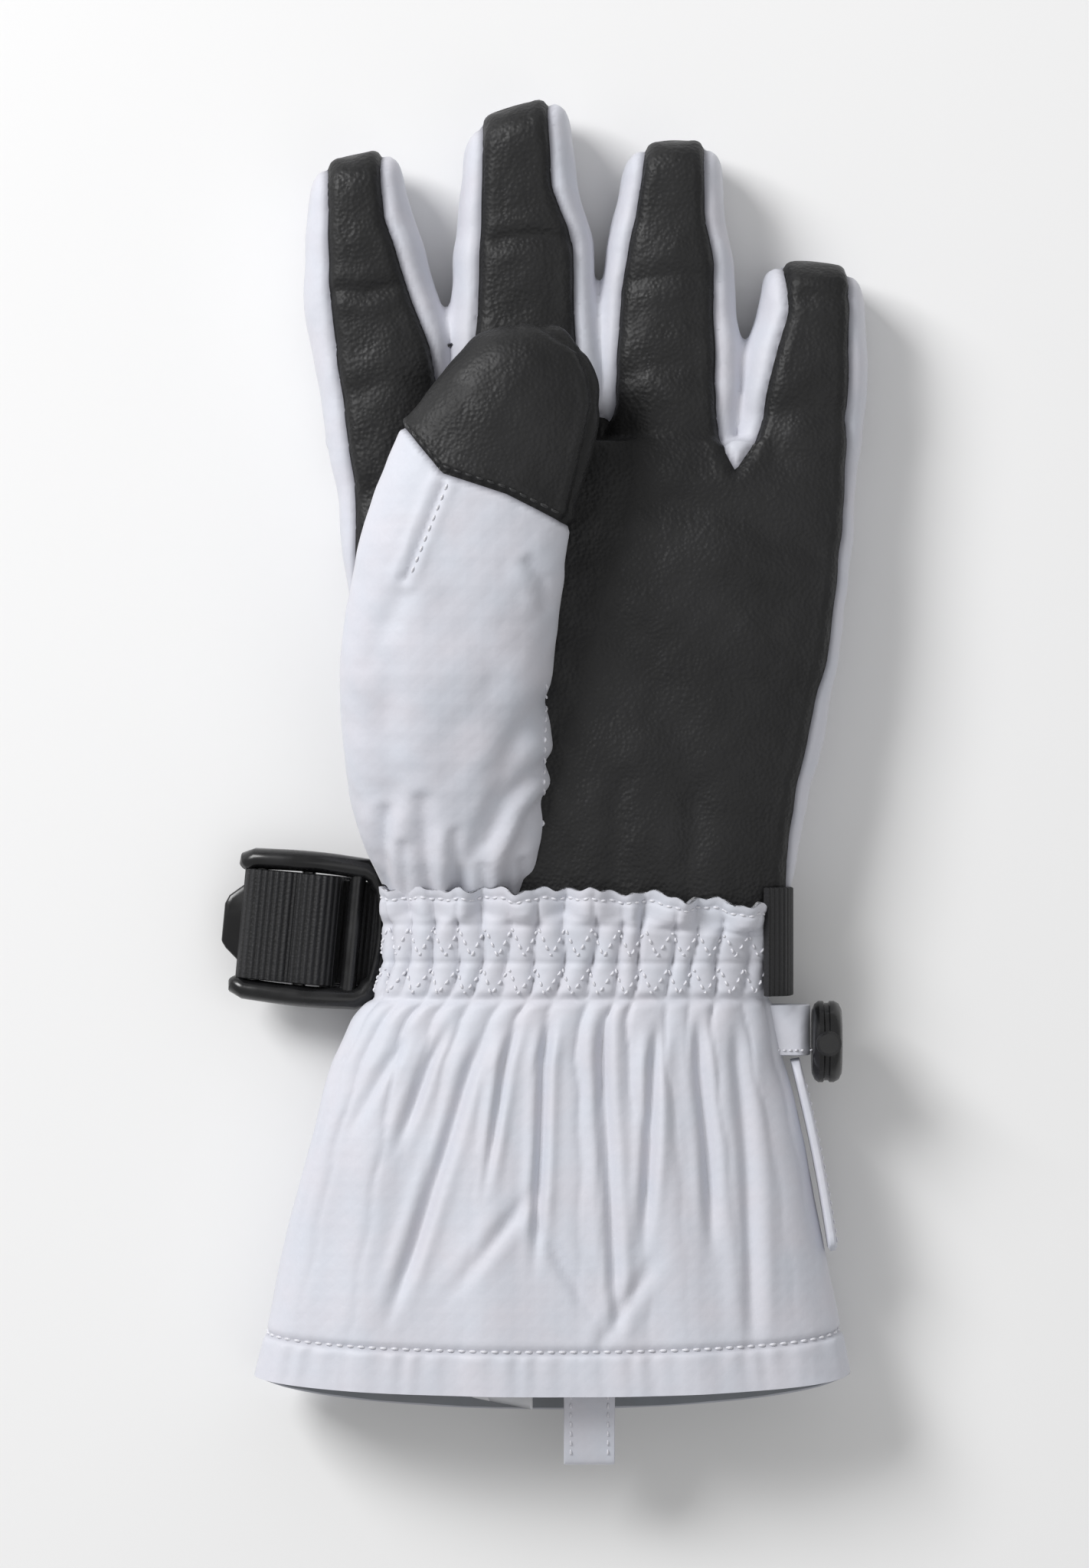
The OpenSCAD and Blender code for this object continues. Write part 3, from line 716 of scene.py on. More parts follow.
@dataclass(frozen=True)
class Steel:
    """Bright spring wire."""

    name: str = "spring_steel"

    def build(self) -> bpy.types.Material:
        """Wire the finish."""
        g = Graph(self.name, (0.55, 0.55, 0.57), 0.25, Metallic=1.0)
        marks = g.noise(0.4, 3.0, (1.0, 1.0, 6.0))
        return g.finish(g.ramp(marks, [(0.3, (0.42, 0.42, 0.44)), (0.7, (0.62, 0.62, 0.64))]),
                        g.bump(marks, 0.02, 0.5))


@dataclass
class Wardrobe:
    """Every finish, wired once and shared by the pieces."""

    leather: bpy.types.Material
    cloth: bpy.types.Material
    plastic: bpy.types.Material
    webbing: bpy.types.Material
    lining: bpy.types.Material
    facing: bpy.types.Material
    pale_thread: bpy.types.Material
    dark_thread: bpy.types.Material
    label: bpy.types.Material
    steel: bpy.types.Material

    @classmethod
    def fill(cls) -> "Wardrobe":
        """Wire every finish."""
        return cls(
            leather=Leather().build(),
            cloth=Woven().build(),
            plastic=Moulded().build(),
            webbing=Webbing().build(),
            lining=Knit("brushed_lining", (0.02, 0.02, 0.022)).build(),
            facing=Woven("inner_facing", (0.30, 0.31, 0.33), (0.27, 0.29, 0.32), 0.4, 0.7,
                         (0.1, 0.1, 0.11)).build(),
            pale_thread=Thread("pale_thread", (0.74, 0.74, 0.79)).build(),
            dark_thread=Thread("dark_thread", (0.012, 0.012, 0.013)).build(),
            label=Woven("label_tape", (0.72, 0.72, 0.74), (0.68, 0.69, 0.72), 0.3, 0.7,
                        (0.4, 0.4, 0.4)).build(),
            steel=Steel().build(),
        )


def stow(piece: bpy.types.Object, slot: str, body: Body, *nodes: str) -> bpy.types.Object:
    """Put a piece on its body and hide the CAD nodes it stands for."""
    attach(piece, body.value)
    if nodes:
        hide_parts(*nodes)
    LOG.info("%s: %d faces on %s", piece.name, len(piece.data.polygons), body.value)
    return piece


class Cloth:
    """Finds places on finished pieces, so that stitches and trims can be laid on them."""

    def __init__(self, pieces: list[bpy.types.Object]) -> None:
        """Index the faces of the pieces."""
        points, faces = [], []
        for piece in pieces:
            base = len(points)
            points += [vertex.co.copy() for vertex in piece.data.vertices]
            faces += [[base + i for i in polygon.vertices] for polygon in piece.data.polygons]
        self.tree = BVHTree.FromPolygons(points, faces)

    def down(self, layout: Layout, x: float, y: float) -> tuple[Vector, Vector] | None:
        """Drop onto the pieces from above.

        Args:
            layout: Places the drawing in the frame.
            x: The drawing's x, in millimetres.
            y: The drawing's y, in millimetres.

        Returns:
            The place and its normal, in the frame, or nothing where it misses.
        """
        place, normal, _, _ = self.tree.ray_cast(Vector(layout.point(x, y, 90.0)), Vector((0, 0, -1)))
        return None if place is None else (place, normal)


def walk(line: list[tuple[float, float]], pitch: float, fill: float) -> list[tuple[Array, Array]]:
    """Step along a drawn line and return where each stitch starts and ends."""
    corners = np.asarray(line, dtype=float)
    lengths = np.r_[0.0, np.cumsum(np.linalg.norm(np.diff(corners, axis=0), axis=1))]
    starts = np.arange(0.0, lengths[-1] - pitch * fill, pitch)
    pick = [np.stack([np.interp(at, lengths, corners[:, i]) for i in (0, 1)], 1)
            for at in (starts, starts + pitch * fill)]
    return list(zip(pick[0], pick[1]))


def sewn(name: str, spans: list[tuple[Vector, Vector, Vector]], radius: float,
         material: bpy.types.Material) -> bpy.types.Object:
    """Make a row of stitches, each a short twisted bar pulled into the cloth at both ends.

    Args:
        name: The row's name.
        spans: Each stitch's start, end and surface normal, in the frame.
        radius: The thread's radius in millimetres.
        material: The thread's finish.

    Returns:
        The row as one object.
    """
    sides, steps = 6, 5
    points, faces = [], []
    for start, end, normal in spans:
        along = end - start
        length = along.length
        if length < 1e-6:
            continue
        along.normalize()
        across = along.cross(normal).normalized()
        up = across.cross(along).normalized()
        base = len(points)
        for step in range(steps):
            part = step / (steps - 1)
            swell = math.sin(math.pi * (0.12 + 0.76 * part)) ** 0.5
            centre = start + along * (length * part) + up * (radius * MM
                        * (0.9 * math.sin(math.pi * part) - 0.25))
            for side in range(sides):
                turn = 2 * math.pi * side / sides
                points.append(centre
                              + (across * math.cos(turn) + up * math.sin(turn)) * (radius * MM * swell))
        for step in range(steps - 1):
            for side in range(sides):
                a, b = base + step * sides + side, base + step * sides + (side + 1) % sides
                faces.append((a, b, b + sides, a + sides))
        faces.append(tuple(base + side for side in reversed(range(sides))))
        faces.append(tuple(base + (steps - 1) * sides + side for side in range(sides)))
    for point in points:
        point.z = max(point.z, FLOOR_GAP * MM)
    mesh = bpy.data.meshes.new(name)
    mesh.from_pydata(points, [], faces)
    shape = bmesh.new()
    shape.from_mesh(mesh)
    bmesh.ops.recalc_face_normals(shape, faces=shape.faces)
    shape.to_mesh(mesh)
    shape.free()
    mesh.polygons.foreach_set("use_smooth", [True] * len(mesh.polygons))
    mesh.materials.append(material)
    piece = bpy.data.objects.new(name, mesh)
    bpy.context.scene.collection.objects.link(piece)
    return piece


def fold(points: Array, line: list[tuple[float, float]], depth: float, width: float) -> Array:
    """Give the height of a soft crease along a drawn line, with a swell beside it.

    Args:
        points: Rows of x, y, z in millimetres.
        line: The crease's corners.
        depth: How deep it is, in millimetres.
        width: Its half width, in millimetres.

    Returns:
        The height at each point.
    """
    corners = np.asarray(line, dtype=float)
    away = line_distance(points, corners)
    centre, reach = corners.mean(axis=0), np.linalg.norm(corners - corners.mean(axis=0), axis=1).max()
    fade = 1.0 - smoothstep(np.linalg.norm(points[:, :2] - centre, axis=1),
                            reach * 0.75, reach * 1.15 + width * 2)
    return fade * depth * (0.45 * np.exp(-((away - 2.4 * width) / (1.3 * width)) ** 2)
                           - np.exp(-(away / width) ** 2))


@dataclass(frozen=True)
class FingerSize:
    """One finger's outline seen from the palm, in the drawing's millimetres."""

    name: str
    left: tuple[tuple[float, float], ...]
    right: tuple[tuple[float, float], ...]
    tilt: float
    low_gap: tuple[tuple[float, float], ...]
    high_gap: tuple[tuple[float, float], ...]


GAP_OUT = ((80.0, -90.0), (160.0, -90.0))
GAP_INDEX_MIDDLE = ((92.0, -18.6), (113.0, -19.5), (125.0, -21.0), (160.0, -22.5))
GAP_MIDDLE_RING = ((92.0, 9.1), (121.8, 8.3), (140.0, 8.7), (160.0, 8.5))
GAP_RING_LITTLE = ((80.0, 33.4), (107.6, 34.7), (120.0, 36.0), (160.0, 36.5))
GAP_FAR = ((80.0, 90.0), (160.0, 90.0))

FINGERS = (
    FingerSize("index", ((70, -38), (91, -41.3), (105, -44.2), (118, -46.2), (130, -46.0), (145, -44.6)),
               ((70, -20), (100, -18.9), (113, -19.4), (120, -21.4), (127, -24.2), (134, -27.0),
                (145, -29.2)),
               0.24, GAP_OUT, GAP_INDEX_MIDDLE),
    FingerSize("middle", ((70, -17), (100, -18.9), (113, -19.6), (125, -18.9), (140, -17.0), (154, -15.6)),
               ((70, 8), (100, 9.3), (112, 8.7), (121, 7.5), (128, 6.8), (140, 4.4), (154, 1.4)),
               0.3, GAP_INDEX_MIDDLE, GAP_MIDDLE_RING),
    FingerSize("ring", ((70, 10), (98, 8.8), (110, 8.2), (121, 8.9), (130, 10.6), (147, 14.0)),
               ((70, 33), (90, 33.6), (107, 34.9), (115, 34.0), (124, 33.0), (134, 31.6), (147, 30.0)),
               0.05, GAP_MIDDLE_RING, GAP_RING_LITTLE),
    FingerSize("little", ((70, 34), (90, 33.2), (106, 34.5), (113, 36.4), (118, 37.9), (126, 39.6)),
               ((70, 54.4), (86, 55.7), (98, 57.0), (107, 57.7), (115, 57.3), (126, 56.2)),
               -0.06, GAP_RING_LITTLE, GAP_FAR),
)

LEATHER_OUTLINE = (
    (-36.0, -20.0), (-36.0, 20.0), (-36.6, 45.0), (-36.6, 64.0), (-36.8, 74.7), (-37.5, 85.6),
    (-40.5, 106.9), (-41.7, 120.8), (-42.2, 136.0), (-42.4, 160.0), (-31.9, 160.0), (-31.4, 142.0),
    (-30.9, 133.0), (-28.7, 126.4), (-24.5, 114.8), (-22.6, 109.2), (-20.4, 100.0), (-18.7, 91.0),
    (-17.2, 98.0), (-14.9, 108.0), (-14.4, 118.0), (-13.7, 140.6), (-14.2, 170.0), (-0.9, 170.0),
    (-0.9, 152.4), (0.0, 138.5), (3.8, 128.3), (4.4, 107.9), (7.0, 99.5), (9.4, 95.5),
    (10.6, 99.0), (11.7, 119.4), (14.4, 134.5), (16.3, 145.6), (16.5, 170.0), (28.0, 170.0),
    (28.1, 146.0), (28.2, 133.6), (29.6, 124.3), (30.1, 98.0), (31.4, 90.0), (33.2, 86.5),
    (36.2, 90.9), (38.0, 98.0), (40.6, 108.4), (42.6, 116.0), (41.9, 123.2), (41.7, 150.0),
    (54.5, 150.0), (54.4, 122.2), (54.8, 114.7), (54.4, 98.0), (54.0, 81.3), (51.8, 64.0),
    (50.2, 51.5), (46.9, 38.0), (44.8, 29.1), (42.8, 15.0), (42.0, -20.0),
)


# Each crease across the leather: its line seen from above, its depth and its half width
HAND_CREASES = (
    ([(-40, 119.6), (-35, 119.0), (-29, 120.2)], 0.55, 1.2),
    ([(-11, 128.6), (-4, 129.4), (3, 128.8)], 0.55, 1.3),
    ([(45, 118.8), (50, 118.2), (54, 118.8)], 0.5, 1.3),
    ([(14, 121), (21, 122.4), (28, 121.4)], 0.35, 1.5),
    ([(-38, 101), (-30, 102.5), (-22, 101)], 0.4, 2.2),
    ([(-13, 106), (-4, 107.5), (5, 106)], 0.4, 2.2),
    ([(12, 104), (21, 105.5), (30, 103)], 0.4, 2.2),
    ([(36, 96), (45, 97.5), (54, 96)], 0.4, 2.2),
    ([(14, 82), (32, 78), (50, 70)], 0.35, 2.6),
    ([(10, 60), (22, 40), (27, 18)], 0.45, 4.0),
    ([(26, 28), (25, 12), (24, 2)], 0.4, 2.2),
    ([(12, 30), (11, 14), (10, 2)], 0.35, 2.0),
)


@dataclass
class Hand:
    """The hand and its four fingers: leather palm and fronts, cloth gussets and backs."""

    layout: Layout
    wardrobe: Wardrobe
    voxel: float = 0.8
    finger_depth: float = 20.0
    split_z: float = 8.5
    wall: float = 1.1
    bend_reach: float = 6.5

    def palm_rings(self) -> Skin:
        """Loft the hand from the wrist to the finger roots."""
        rows = np.arange(-4.0, 93.0, 2.0)
        left = eased(rows, np.array([-4, 8, 20, 40, 64, 73, 91, 100]),
                     np.array([-30.5, -31.5, -34, -36, -37.7, -38.9, -41.3, -42.6]))
        right = eased(rows, np.array([-4, 8, 29, 51.5, 70, 86, 100]),
                      np.array([38.5, 43.0, 47.3, 52.1, 54.4, 55.7, 56.8]))
        low = eased(rows, np.array([-4, 6, 18, 100]), np.array([3.6, 3.4, 0.0, 0.0]))
        high = eased(rows, np.array([-4, 10, 24, 70, 84, 96]), np.array([24.0, 24.4, 25.2, 24.6, 23.2, 20.0]))
        return Skin.from_rings([ring(l, r, a, b, y, 2.9, 3.6, 120)
                                for l, r, a, b, y in zip(left, right, low, high, rows)])

    def finger_rings(self, size: FingerSize) -> Skin:
        """Loft one finger from inside the palm to its tip."""
        tip = self.layout.drawn(f"{size.name}_gusset")[1][1]
        cap = 7.5
        rows = list(np.arange(74.0, tip - cap, 2.0))
        rings = []
        turn = np.linspace(0.0, np.pi / 2 - 0.03, 12)
        spots = [(y, 1.0, 1.0) for y in rows]
        spots += [(tip - cap + cap * math.sin(t) ** 0.75, math.cos(t) ** 0.52, math.cos(t) ** 0.8)
                  for t in turn]
        for y, wide, tall in spots:
            at = min(y, tip - 1.0)
            left = float(eased(at, *np.array(size.left, dtype=float).T))
            right = float(eased(at, *np.array(size.right, dtype=float).T))
            middle, half = (left + right) / 2, (right - left) / 2 * wide
            rise = self.finger_depth / 2
            plump = 1.0 + 0.045 * math.sin((y - 74.0) / 11.0)
            tilt = size.tilt * float(smoothstep(y, tip - 26.0, tip - 3.0))
            rings.append(ring(middle - half, middle + half, rise - rise * tall, rise + rise * tall * plump, y,
                              2.3, 3.0, 72, tilt))
        return Skin.from_rings(rings)

    def leather_level(self, points: Array) -> Array:
        """Give the distance inside the leather: within its outline and on the palm side."""
        return np.minimum(within(points, np.array(LEATHER_OUTLINE)), points[:, 2] - self.split_z)

    def back_level(self, points: Array) -> Array:
        """Give the distance inside the finger backs: within the outline, on the far side."""
        strip = within(points, np.array(LEATHER_OUTLINE))
        return np.minimum(np.maximum(strip, 90.0 - points[:, 1]), self.split_z - 1.0 - points[:, 2])

    def finger_level(self, size: FingerSize, start: float) -> Callable[[Array], Array]:
        """Give the level that is positive on one finger beyond its first joint."""
        low, high = (np.array(gap, dtype=float).T for gap in (size.low_gap, size.high_gap))

        def level(points: Array) -> Array:
            """Measure how far inside the finger a point is."""
            x, y = points[:, 0], points[:, 1]
            return np.minimum(y - start, np.minimum(x - np.interp(y, *low), np.interp(y, *high) - x))

        return level

    def creased(self, skin: Skin) -> Skin:
        """Sink the seams, swell the panels, crease the leather and paint shade into the seam grooves."""
        p = skin.points
        normal = skin.normals()
        leather, back = np.abs(skin.data["leather"]), np.abs(skin.data["back"])
        shown = smoothstep(p[:, 1], 84.0, 92.0)
        above = p[:, 2] > self.split_z - 2.0
        front = np.where(above, leather, 9.0)
        behind = np.where(p[:, 2] < self.split_z, back, 9.0)
        hand_edge = 0.45 + 0.55 * smoothstep(p[:, 1], 60.0, 92.0)
        height = (-0.85 * hand_edge * np.exp(-(front / 0.75) ** 2)
                  + 0.28 * np.exp(-((front - 2.3) / 1.2) ** 2))
        height += shown * (0.22 * np.exp(-((behind - 2.2) / 1.2) ** 2) - 0.6 * np.exp(-(behind / 0.8) ** 2))
        height += 0.30 * ripple(p, 17.0, 3) + 0.10 * ripple(p, 6.0, 4)
        top = smoothstep(p[:, 2], 12.0, 17.0)
        for line, depth, width in HAND_CREASES:
            height += top * fold(p, line, depth, width)
        skin.points = p + normal * height[:, None]
        skin.points[:, 2] = np.maximum(skin.points[:, 2], FLOOR_GAP)
        skin.data["normal"] = skin.normals()
        # Painted shade: the seam attribute darkens the leather and cloth along the sunken seam grooves.
        dark = np.exp(-(front / 0.5) ** 2) * 0.9 + shown * np.exp(-(behind / 0.45) ** 2) * 0.7
        skin.data["seam"] = np.clip(dark, 0.0, 1.0)
        return skin

    def dress(self) -> list[bpy.types.Object]:
        """Build every panel of the hand and fingers.

        Returns:
            The panels.
        """
        skin = melt([self.palm_rings()] + [self.finger_rings(size) for size in FINGERS], self.voxel, 7)
        skin = skin.carved("leather", self.leather_level).carved("back", self.back_level)
        joints = {}
        for size in FINGERS:
            joints[size.name] = self.layout.drawn(f"{size.name}_back")[0][1]
            skin = skin.carved(size.name, self.finger_level(size, joints[size.name] - self.bend_reach - 0.6))
        skin = self.creased(skin)
        leather, back = skin.side("leather"), skin.side("back")
        finger = {size.name: skin.side(size.name) for size in FINGERS}
        rest = ~np.any(list(finger.values()), axis=0)
        panels = []
        palm = skin.part(leather & rest).thick(self.wall).build("palm_leather", self.layout,
                    self.wardrobe.leather)
        stow(palm, "leather", Body.HAND, "palm_panel")
        shell = skin.part(~leather & rest).thick(self.wall).build("hand_back", self.layout,
                    self.wardrobe.cloth)
        stow(shell, "shell_fabric", Body.HAND, "back_panel", "fourchettes", "hand_fill")
        panels += [palm, shell]
        for size in FINGERS:
            middle = sum(np.interp(joints[size.name], *np.array(side, dtype=float).T)
                         for side in (size.left, size.right)) / 2
            for part, chosen, material, slot, nodes in (
                ("front", leather, self.wardrobe.leather, "leather", ("front", "fill", "lining")),
                ("gusset", ~leather & ~back, self.wardrobe.cloth, "shell_fabric", ("gusset",)),
                ("back", back, self.wardrobe.cloth, "shell_fabric", ("back",)),
            ):
                name = f"{size.name}_{part}"
                panel = skin.part(chosen & finger[size.name]).thick(self.wall)
                piece = panel.build(f"{size.name}_{part}_panel", self.layout, material)
                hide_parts(*(f"{size.name}_{node}" for node in nodes))
                self.layout.point(middle, joints[size.name] - self.bend_reach, 12.0)
                self.layout.point(middle, joints[size.name] + self.bend_reach, 12.0)
                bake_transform(piece)
                LOG.info("%s: %d faces", name, len(piece.data.polygons))
                panels.append(piece)
        return panels


# Each fold of the thumb sleeve: its line seen from above, its depth and its half width
THUMB_CREASES = (
    ([(-4.6, 69), (-2.2, 66), (-1.6, 61)], 0.7, 1.3),
    ([(-1, 44), (-6, 38), (-12, 24), (-18, 8)], 0.9, 2.2),
    ([(-1.5, 33), (-5, 30), (-9, 25), (-12, 18)], 1.0, 1.5),
    ([(-1.5, 27), (-5, 23), (-8, 16), (-9, 9)], 0.8, 1.4),
    ([(-31, 24), (-31.5, 16), (-31, 8)], 0.9, 1.3),
    ([(-24, 26), (-23.4, 16), (-23, 8)], 1.0, 1.6),
    ([(-18.4, 20), (-18, 14), (-17.6, 8)], 0.8, 1.2),
    ([(-30, 50), (-31, 38), (-29, 25)], 0.9, 3.2),
    ([(-27, 65), (-31, 56), (-34, 50)], 0.4, 2.0),
    ([(-20, 62), (-12, 52), (-10, 40)], 0.45, 3.4),
    ([(-13, 14), (-12.6, 8)], 0.7, 1.1),
    ([(-6, 15), (-5, 8)], 0.7, 1.1),
    ([(-27.5, 18), (-27, 8)], 0.6, 1.1),
)


@dataclass
class Thumb:
    """The thumb, folded over the palm: a cloth sleeve with a leather cap."""

    layout: Layout
    wardrobe: Wardrobe
    voxel: float = 0.7
    wall: float = 1.1
    cap_x: tuple[float, ...] = (-42.0, -27.7, -20.3, -8.6, 2.3, 12.0)
    cap_y: tuple[float, ...] = (104.0, 93.8, 85.0, 81.2, 75.9, 71.5)
    border: tuple[tuple[float, float], ...] = ((-0.4, 47.0), (-0.7, 34.8), (-1.0, 22.9), (-1.3, 10.5))
    dart: tuple[tuple[float, float], ...] = ((-20.3, 83.0), (-27.1, 66.1))
    bend_reach: float = 8.0

    def rings(self) -> Skin:
        """Loft the thumb from under the wrist band to its tip."""
        y = np.array([-2, 8, 15, 23, 33, 47.6, 61.8, 70.6, 75.9, 84.8, 94.9, 101.3, 107.4, 113.0])
        left = np.array([-28.8, -30.4, -34, -36.6, -38.2, -39.2, -37.7, -36, -34.6, -31.6, -27.5, -22.6,
                         -18.4, -15])
        right = np.array([-1.6, -1.5, -1.4, -1.2, -0.9, -0.5, 0.8, 2.0, 3.0, 5.4, 8.2, 8.0, 5.0, 1.0])
        low_y, low_z = np.array([-2, 20, 40, 58, 72, 115]), np.array([6.0, 5.0, 8.0, 17.0, 24.4, 24.8])
        high_y = np.array([-2, 7, 10.5, 14, 20, 35, 50, 70, 98, 115])
        high_z = np.array([23.4, 24.4, 27.0, 29.6, 32.0, 37.5, 41.0, 42.4, 42.2, 40.5])
        tip, cap = 112.2, 8.5
        turn = np.linspace(0.0, np.pi / 2 - 0.03, 12)
        spots = [(float(row), 1.0, 1.0) for row in np.arange(-2.0, tip - cap, 1.5)]
        spots += [(tip - cap + cap * math.sin(t) ** 0.8, math.cos(t) ** 0.6, math.cos(t) ** 0.85)
                  for t in turn]
        rings = []
        for row, wide, tall in spots:
            at = min(row, tip - 3.5)
            l, r = float(eased(at, y, left)), float(eased(at, y, right))
            a, b = float(eased(at, low_y, low_z)), float(eased(at, high_y, high_z))
            middle, half, mid, rise = (l + r) / 2, (r - l) / 2 * wide, (a + b) / 2, (b - a) / 2 * tall
            rings.append(ring(middle - half, middle + half, mid - rise, mid + rise, row, 2.2, 2.6, 96,
                              0.08 * float(smoothstep(row, 90, 108))))
        return Skin.from_rings(rings)

    def cap_level(self, points: Array) -> Array:
        """Give the distance beyond the seam between the sleeve and the cap."""
        return 0.86 * (points[:, 1] - np.interp(points[:, 0], self.cap_x, self.cap_y))

    def creased(self, skin: Skin) -> Skin:
        """Sink the seams, fold the sleeve and paint shade into the seam, ridge and dart grooves."""
        p, normal = skin.points, skin.normals()
        cap = skin.data["cap"]
        seam = np.abs(cap)
        on_cap = smoothstep(cap, -0.2, 0.4)
        height = -0.65 * np.exp(-(seam / 0.6) ** 2) + on_cap * 0.4 * np.exp(-((seam - 1.7) / 0.9) ** 2)
        height += (0.24 + 0.06 * (1 - on_cap)) * ripple(p, 19.0, 11) + 0.09 * ripple(p, 5.5, 12)
        upper = smoothstep(p[:, 2], 24.0, 30.0)
        top = np.where(p[:, 1] < 60, smoothstep(p[:, 2], 14.0, 20.0), upper)
        ridge = ((-4.1, 113.0), (4.6, 107.4), (6.6, 102.0), (7.2, 97.6), (5.0, 88.0), (3.2, 80.0),
                 (2.0, 76.4))
        side = line_distance(p, np.array(ridge))
        height += on_cap * (0.35 * np.exp(-((side - 1.6) / 0.9) ** 2)
                            - 0.5 * np.exp(-(side / 0.6) ** 2)) * top
        for line, depth, width in THUMB_CREASES:
            height += (1 - on_cap) * top * fold(p, line, depth, width)
        dart = line_distance(p, np.array(self.dart))
        height += (1 - on_cap) * upper * (0.3 * np.exp(-((dart - 1.8) / 1.0) ** 2)
                    - 0.4 * np.exp(-(dart / 0.6) ** 2))
        skin.points = p + normal * height[:, None]
        skin.data["normal"] = skin.normals()
        # Painted shade: darkens the seam groove, the crease along the cap's ridge and the dart.
        dark = np.exp(-(seam / 0.45) ** 2) * 0.9 + 0.5 * on_cap * top * np.exp(-(side / 0.5) ** 2)
        skin.data["seam"] = np.clip(dark + 0.35 * (1 - on_cap) * upper * np.exp(-(dart / 0.4) ** 2), 0, 1)
        return skin

    def joined(self, piece: bpy.types.Object) -> None:
        """Put a piece's place into its mesh."""
        fold_y = self.layout.drawn("thumb_sleeve")[0][1]
        self.layout.point(-18.0, fold_y - self.bend_reach, 32.0)
        self.layout.point(-18.0, fold_y + self.bend_reach, 32.0)
        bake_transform(piece)

    def dress(self) -> list[bpy.types.Object]:
        """Build the sleeve, the cap and their stitches.

        Returns:
            The sleeve and the cap.
        """
        skin = melt([self.rings()], self.voxel, 6).carved("cap", self.cap_level)
        skin = skin.carved("foot", lambda p: p[:, 1] - 5.5)
        skin = self.creased(skin)
        cap, kept = skin.side("cap"), skin.side("foot")
        panels = []
        for name, chosen, material, slot, nodes in (
            ("thumb_sleeve_cloth", ~cap & kept, self.wardrobe.cloth, "shell_fabric",
             ("thumb_gusset", "thumb_sleeve", "thumb_front", "thumb_fill", "thumb_lining")),
            ("thumb_cap_leather", cap & kept, self.wardrobe.leather, "leather", ("thumb_cap",)),
        ):
            piece = skin.part(chosen).thick(self.wall).build(name, self.layout, material)
            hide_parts(*nodes)
            self.joined(piece)
            LOG.info("%s: %d faces", name, len(piece.data.polygons))
            panels.append(piece)
        self.stitches(Cloth(panels))
        return panels

    def stitches(self, cloth: Cloth) -> None:
        """Sew the dart, the border on the palm and the cap's topstitch."""
        seam = [(x, float(np.interp(x, self.cap_x, self.cap_y)) + 1.25) for x in np.linspace(-27.0, 1.5, 24)]
        for name, line, pitch, fill, thread in (
            ("thumb_dart_stitches", [(x + 1.0, y) for x, y in self.dart], 2.0, 0.62,
             self.wardrobe.pale_thread),
            ("thumb_border_stitches", [(x - 1.1, y) for x, y in self.border], 1.9, 0.6,
             self.wardrobe.pale_thread),
            ("thumb_cap_stitches", seam, 2.1, 0.7, self.wardrobe.dark_thread),
        ):
            spans = []
            for start, end in walk(line, pitch, fill):
                first, last = (cloth.down(self.layout, *spot) for spot in (start, end))
                if first and last:
                    spans.append((first[0], last[0], first[1]))
            row = sewn(name, spans, 0.26, thread)
            self.joined(row)


# The cuff's smooth outline at rising heights: its two sides, its underside and its palm side
CUFF_ROWS = (-92, -80, -62, -44, -37, -22, -14, -10, -4, 3, 12)
CUFF_LEFT = (-58, -55.4, -51.2, -46.7, -44.7, -40.4, -37.0, -33.0, -31.2, -31.2, -32.2)
CUFF_RIGHT = (57, 54.2, 50.1, 46.8, 45.4, 41.6, 40.2, 39.6, 39.9, 40.9, 41.8)
CUFF_LOW = (0.1, 0.1, 0.3, 0.9, 1.4, 2.4, 3.1, 3.4, 3.6, 3.8, 3.6)
CUFF_HIGH = (28.4, 28.4, 28.3, 28.0, 27.8, 27.2, 26.8, 26.4, 26.4, 27.4, 29.8)

# Each long fold: how far round it starts, from and to how far below the band, its depth, its
# half width and how fast it wanders round
CUFF_FOLDS = (
    (0.155, (12, 46), 1.3, 1.0, 0.0006), (0.205, (10, 62), 1.1, 1.1, -0.0002),
    (0.262, (11, 50), 1.3, 0.9, 0.0), (0.300, (12, 38), 1.0, 0.8, 0.0004),
    (0.335, (14, 60), 1.2, 1.3, 0.0010), (0.108, (10, 48), 1.2, 1.1, 0.0002),
    (0.375, (12, 32), 1.0, 1.1, 0.0012), (0.420, (14, 28), 0.8, 1.4, 0.0018),
    (0.070, (12, 66), 1.0, 1.5, 0.0004), (0.240, (46, 64), 0.8, 1.4, -0.0030),
    (0.185, (52, 66), 0.7, 1.5, 0.0030), (0.290, (40, 56), 0.7, 1.6, 0.0034),
    (0.600, (12, 50), 1.2, 1.4, 0.0), (0.680, (12, 40), 1.2, 1.2, 0.0008),
    (0.750, (12, 60), 1.3, 1.3, 0.0), (0.820, (12, 44), 1.1, 1.2, -0.0006),
    (0.900, (12, 52), 1.2, 1.4, 0.0002),
)


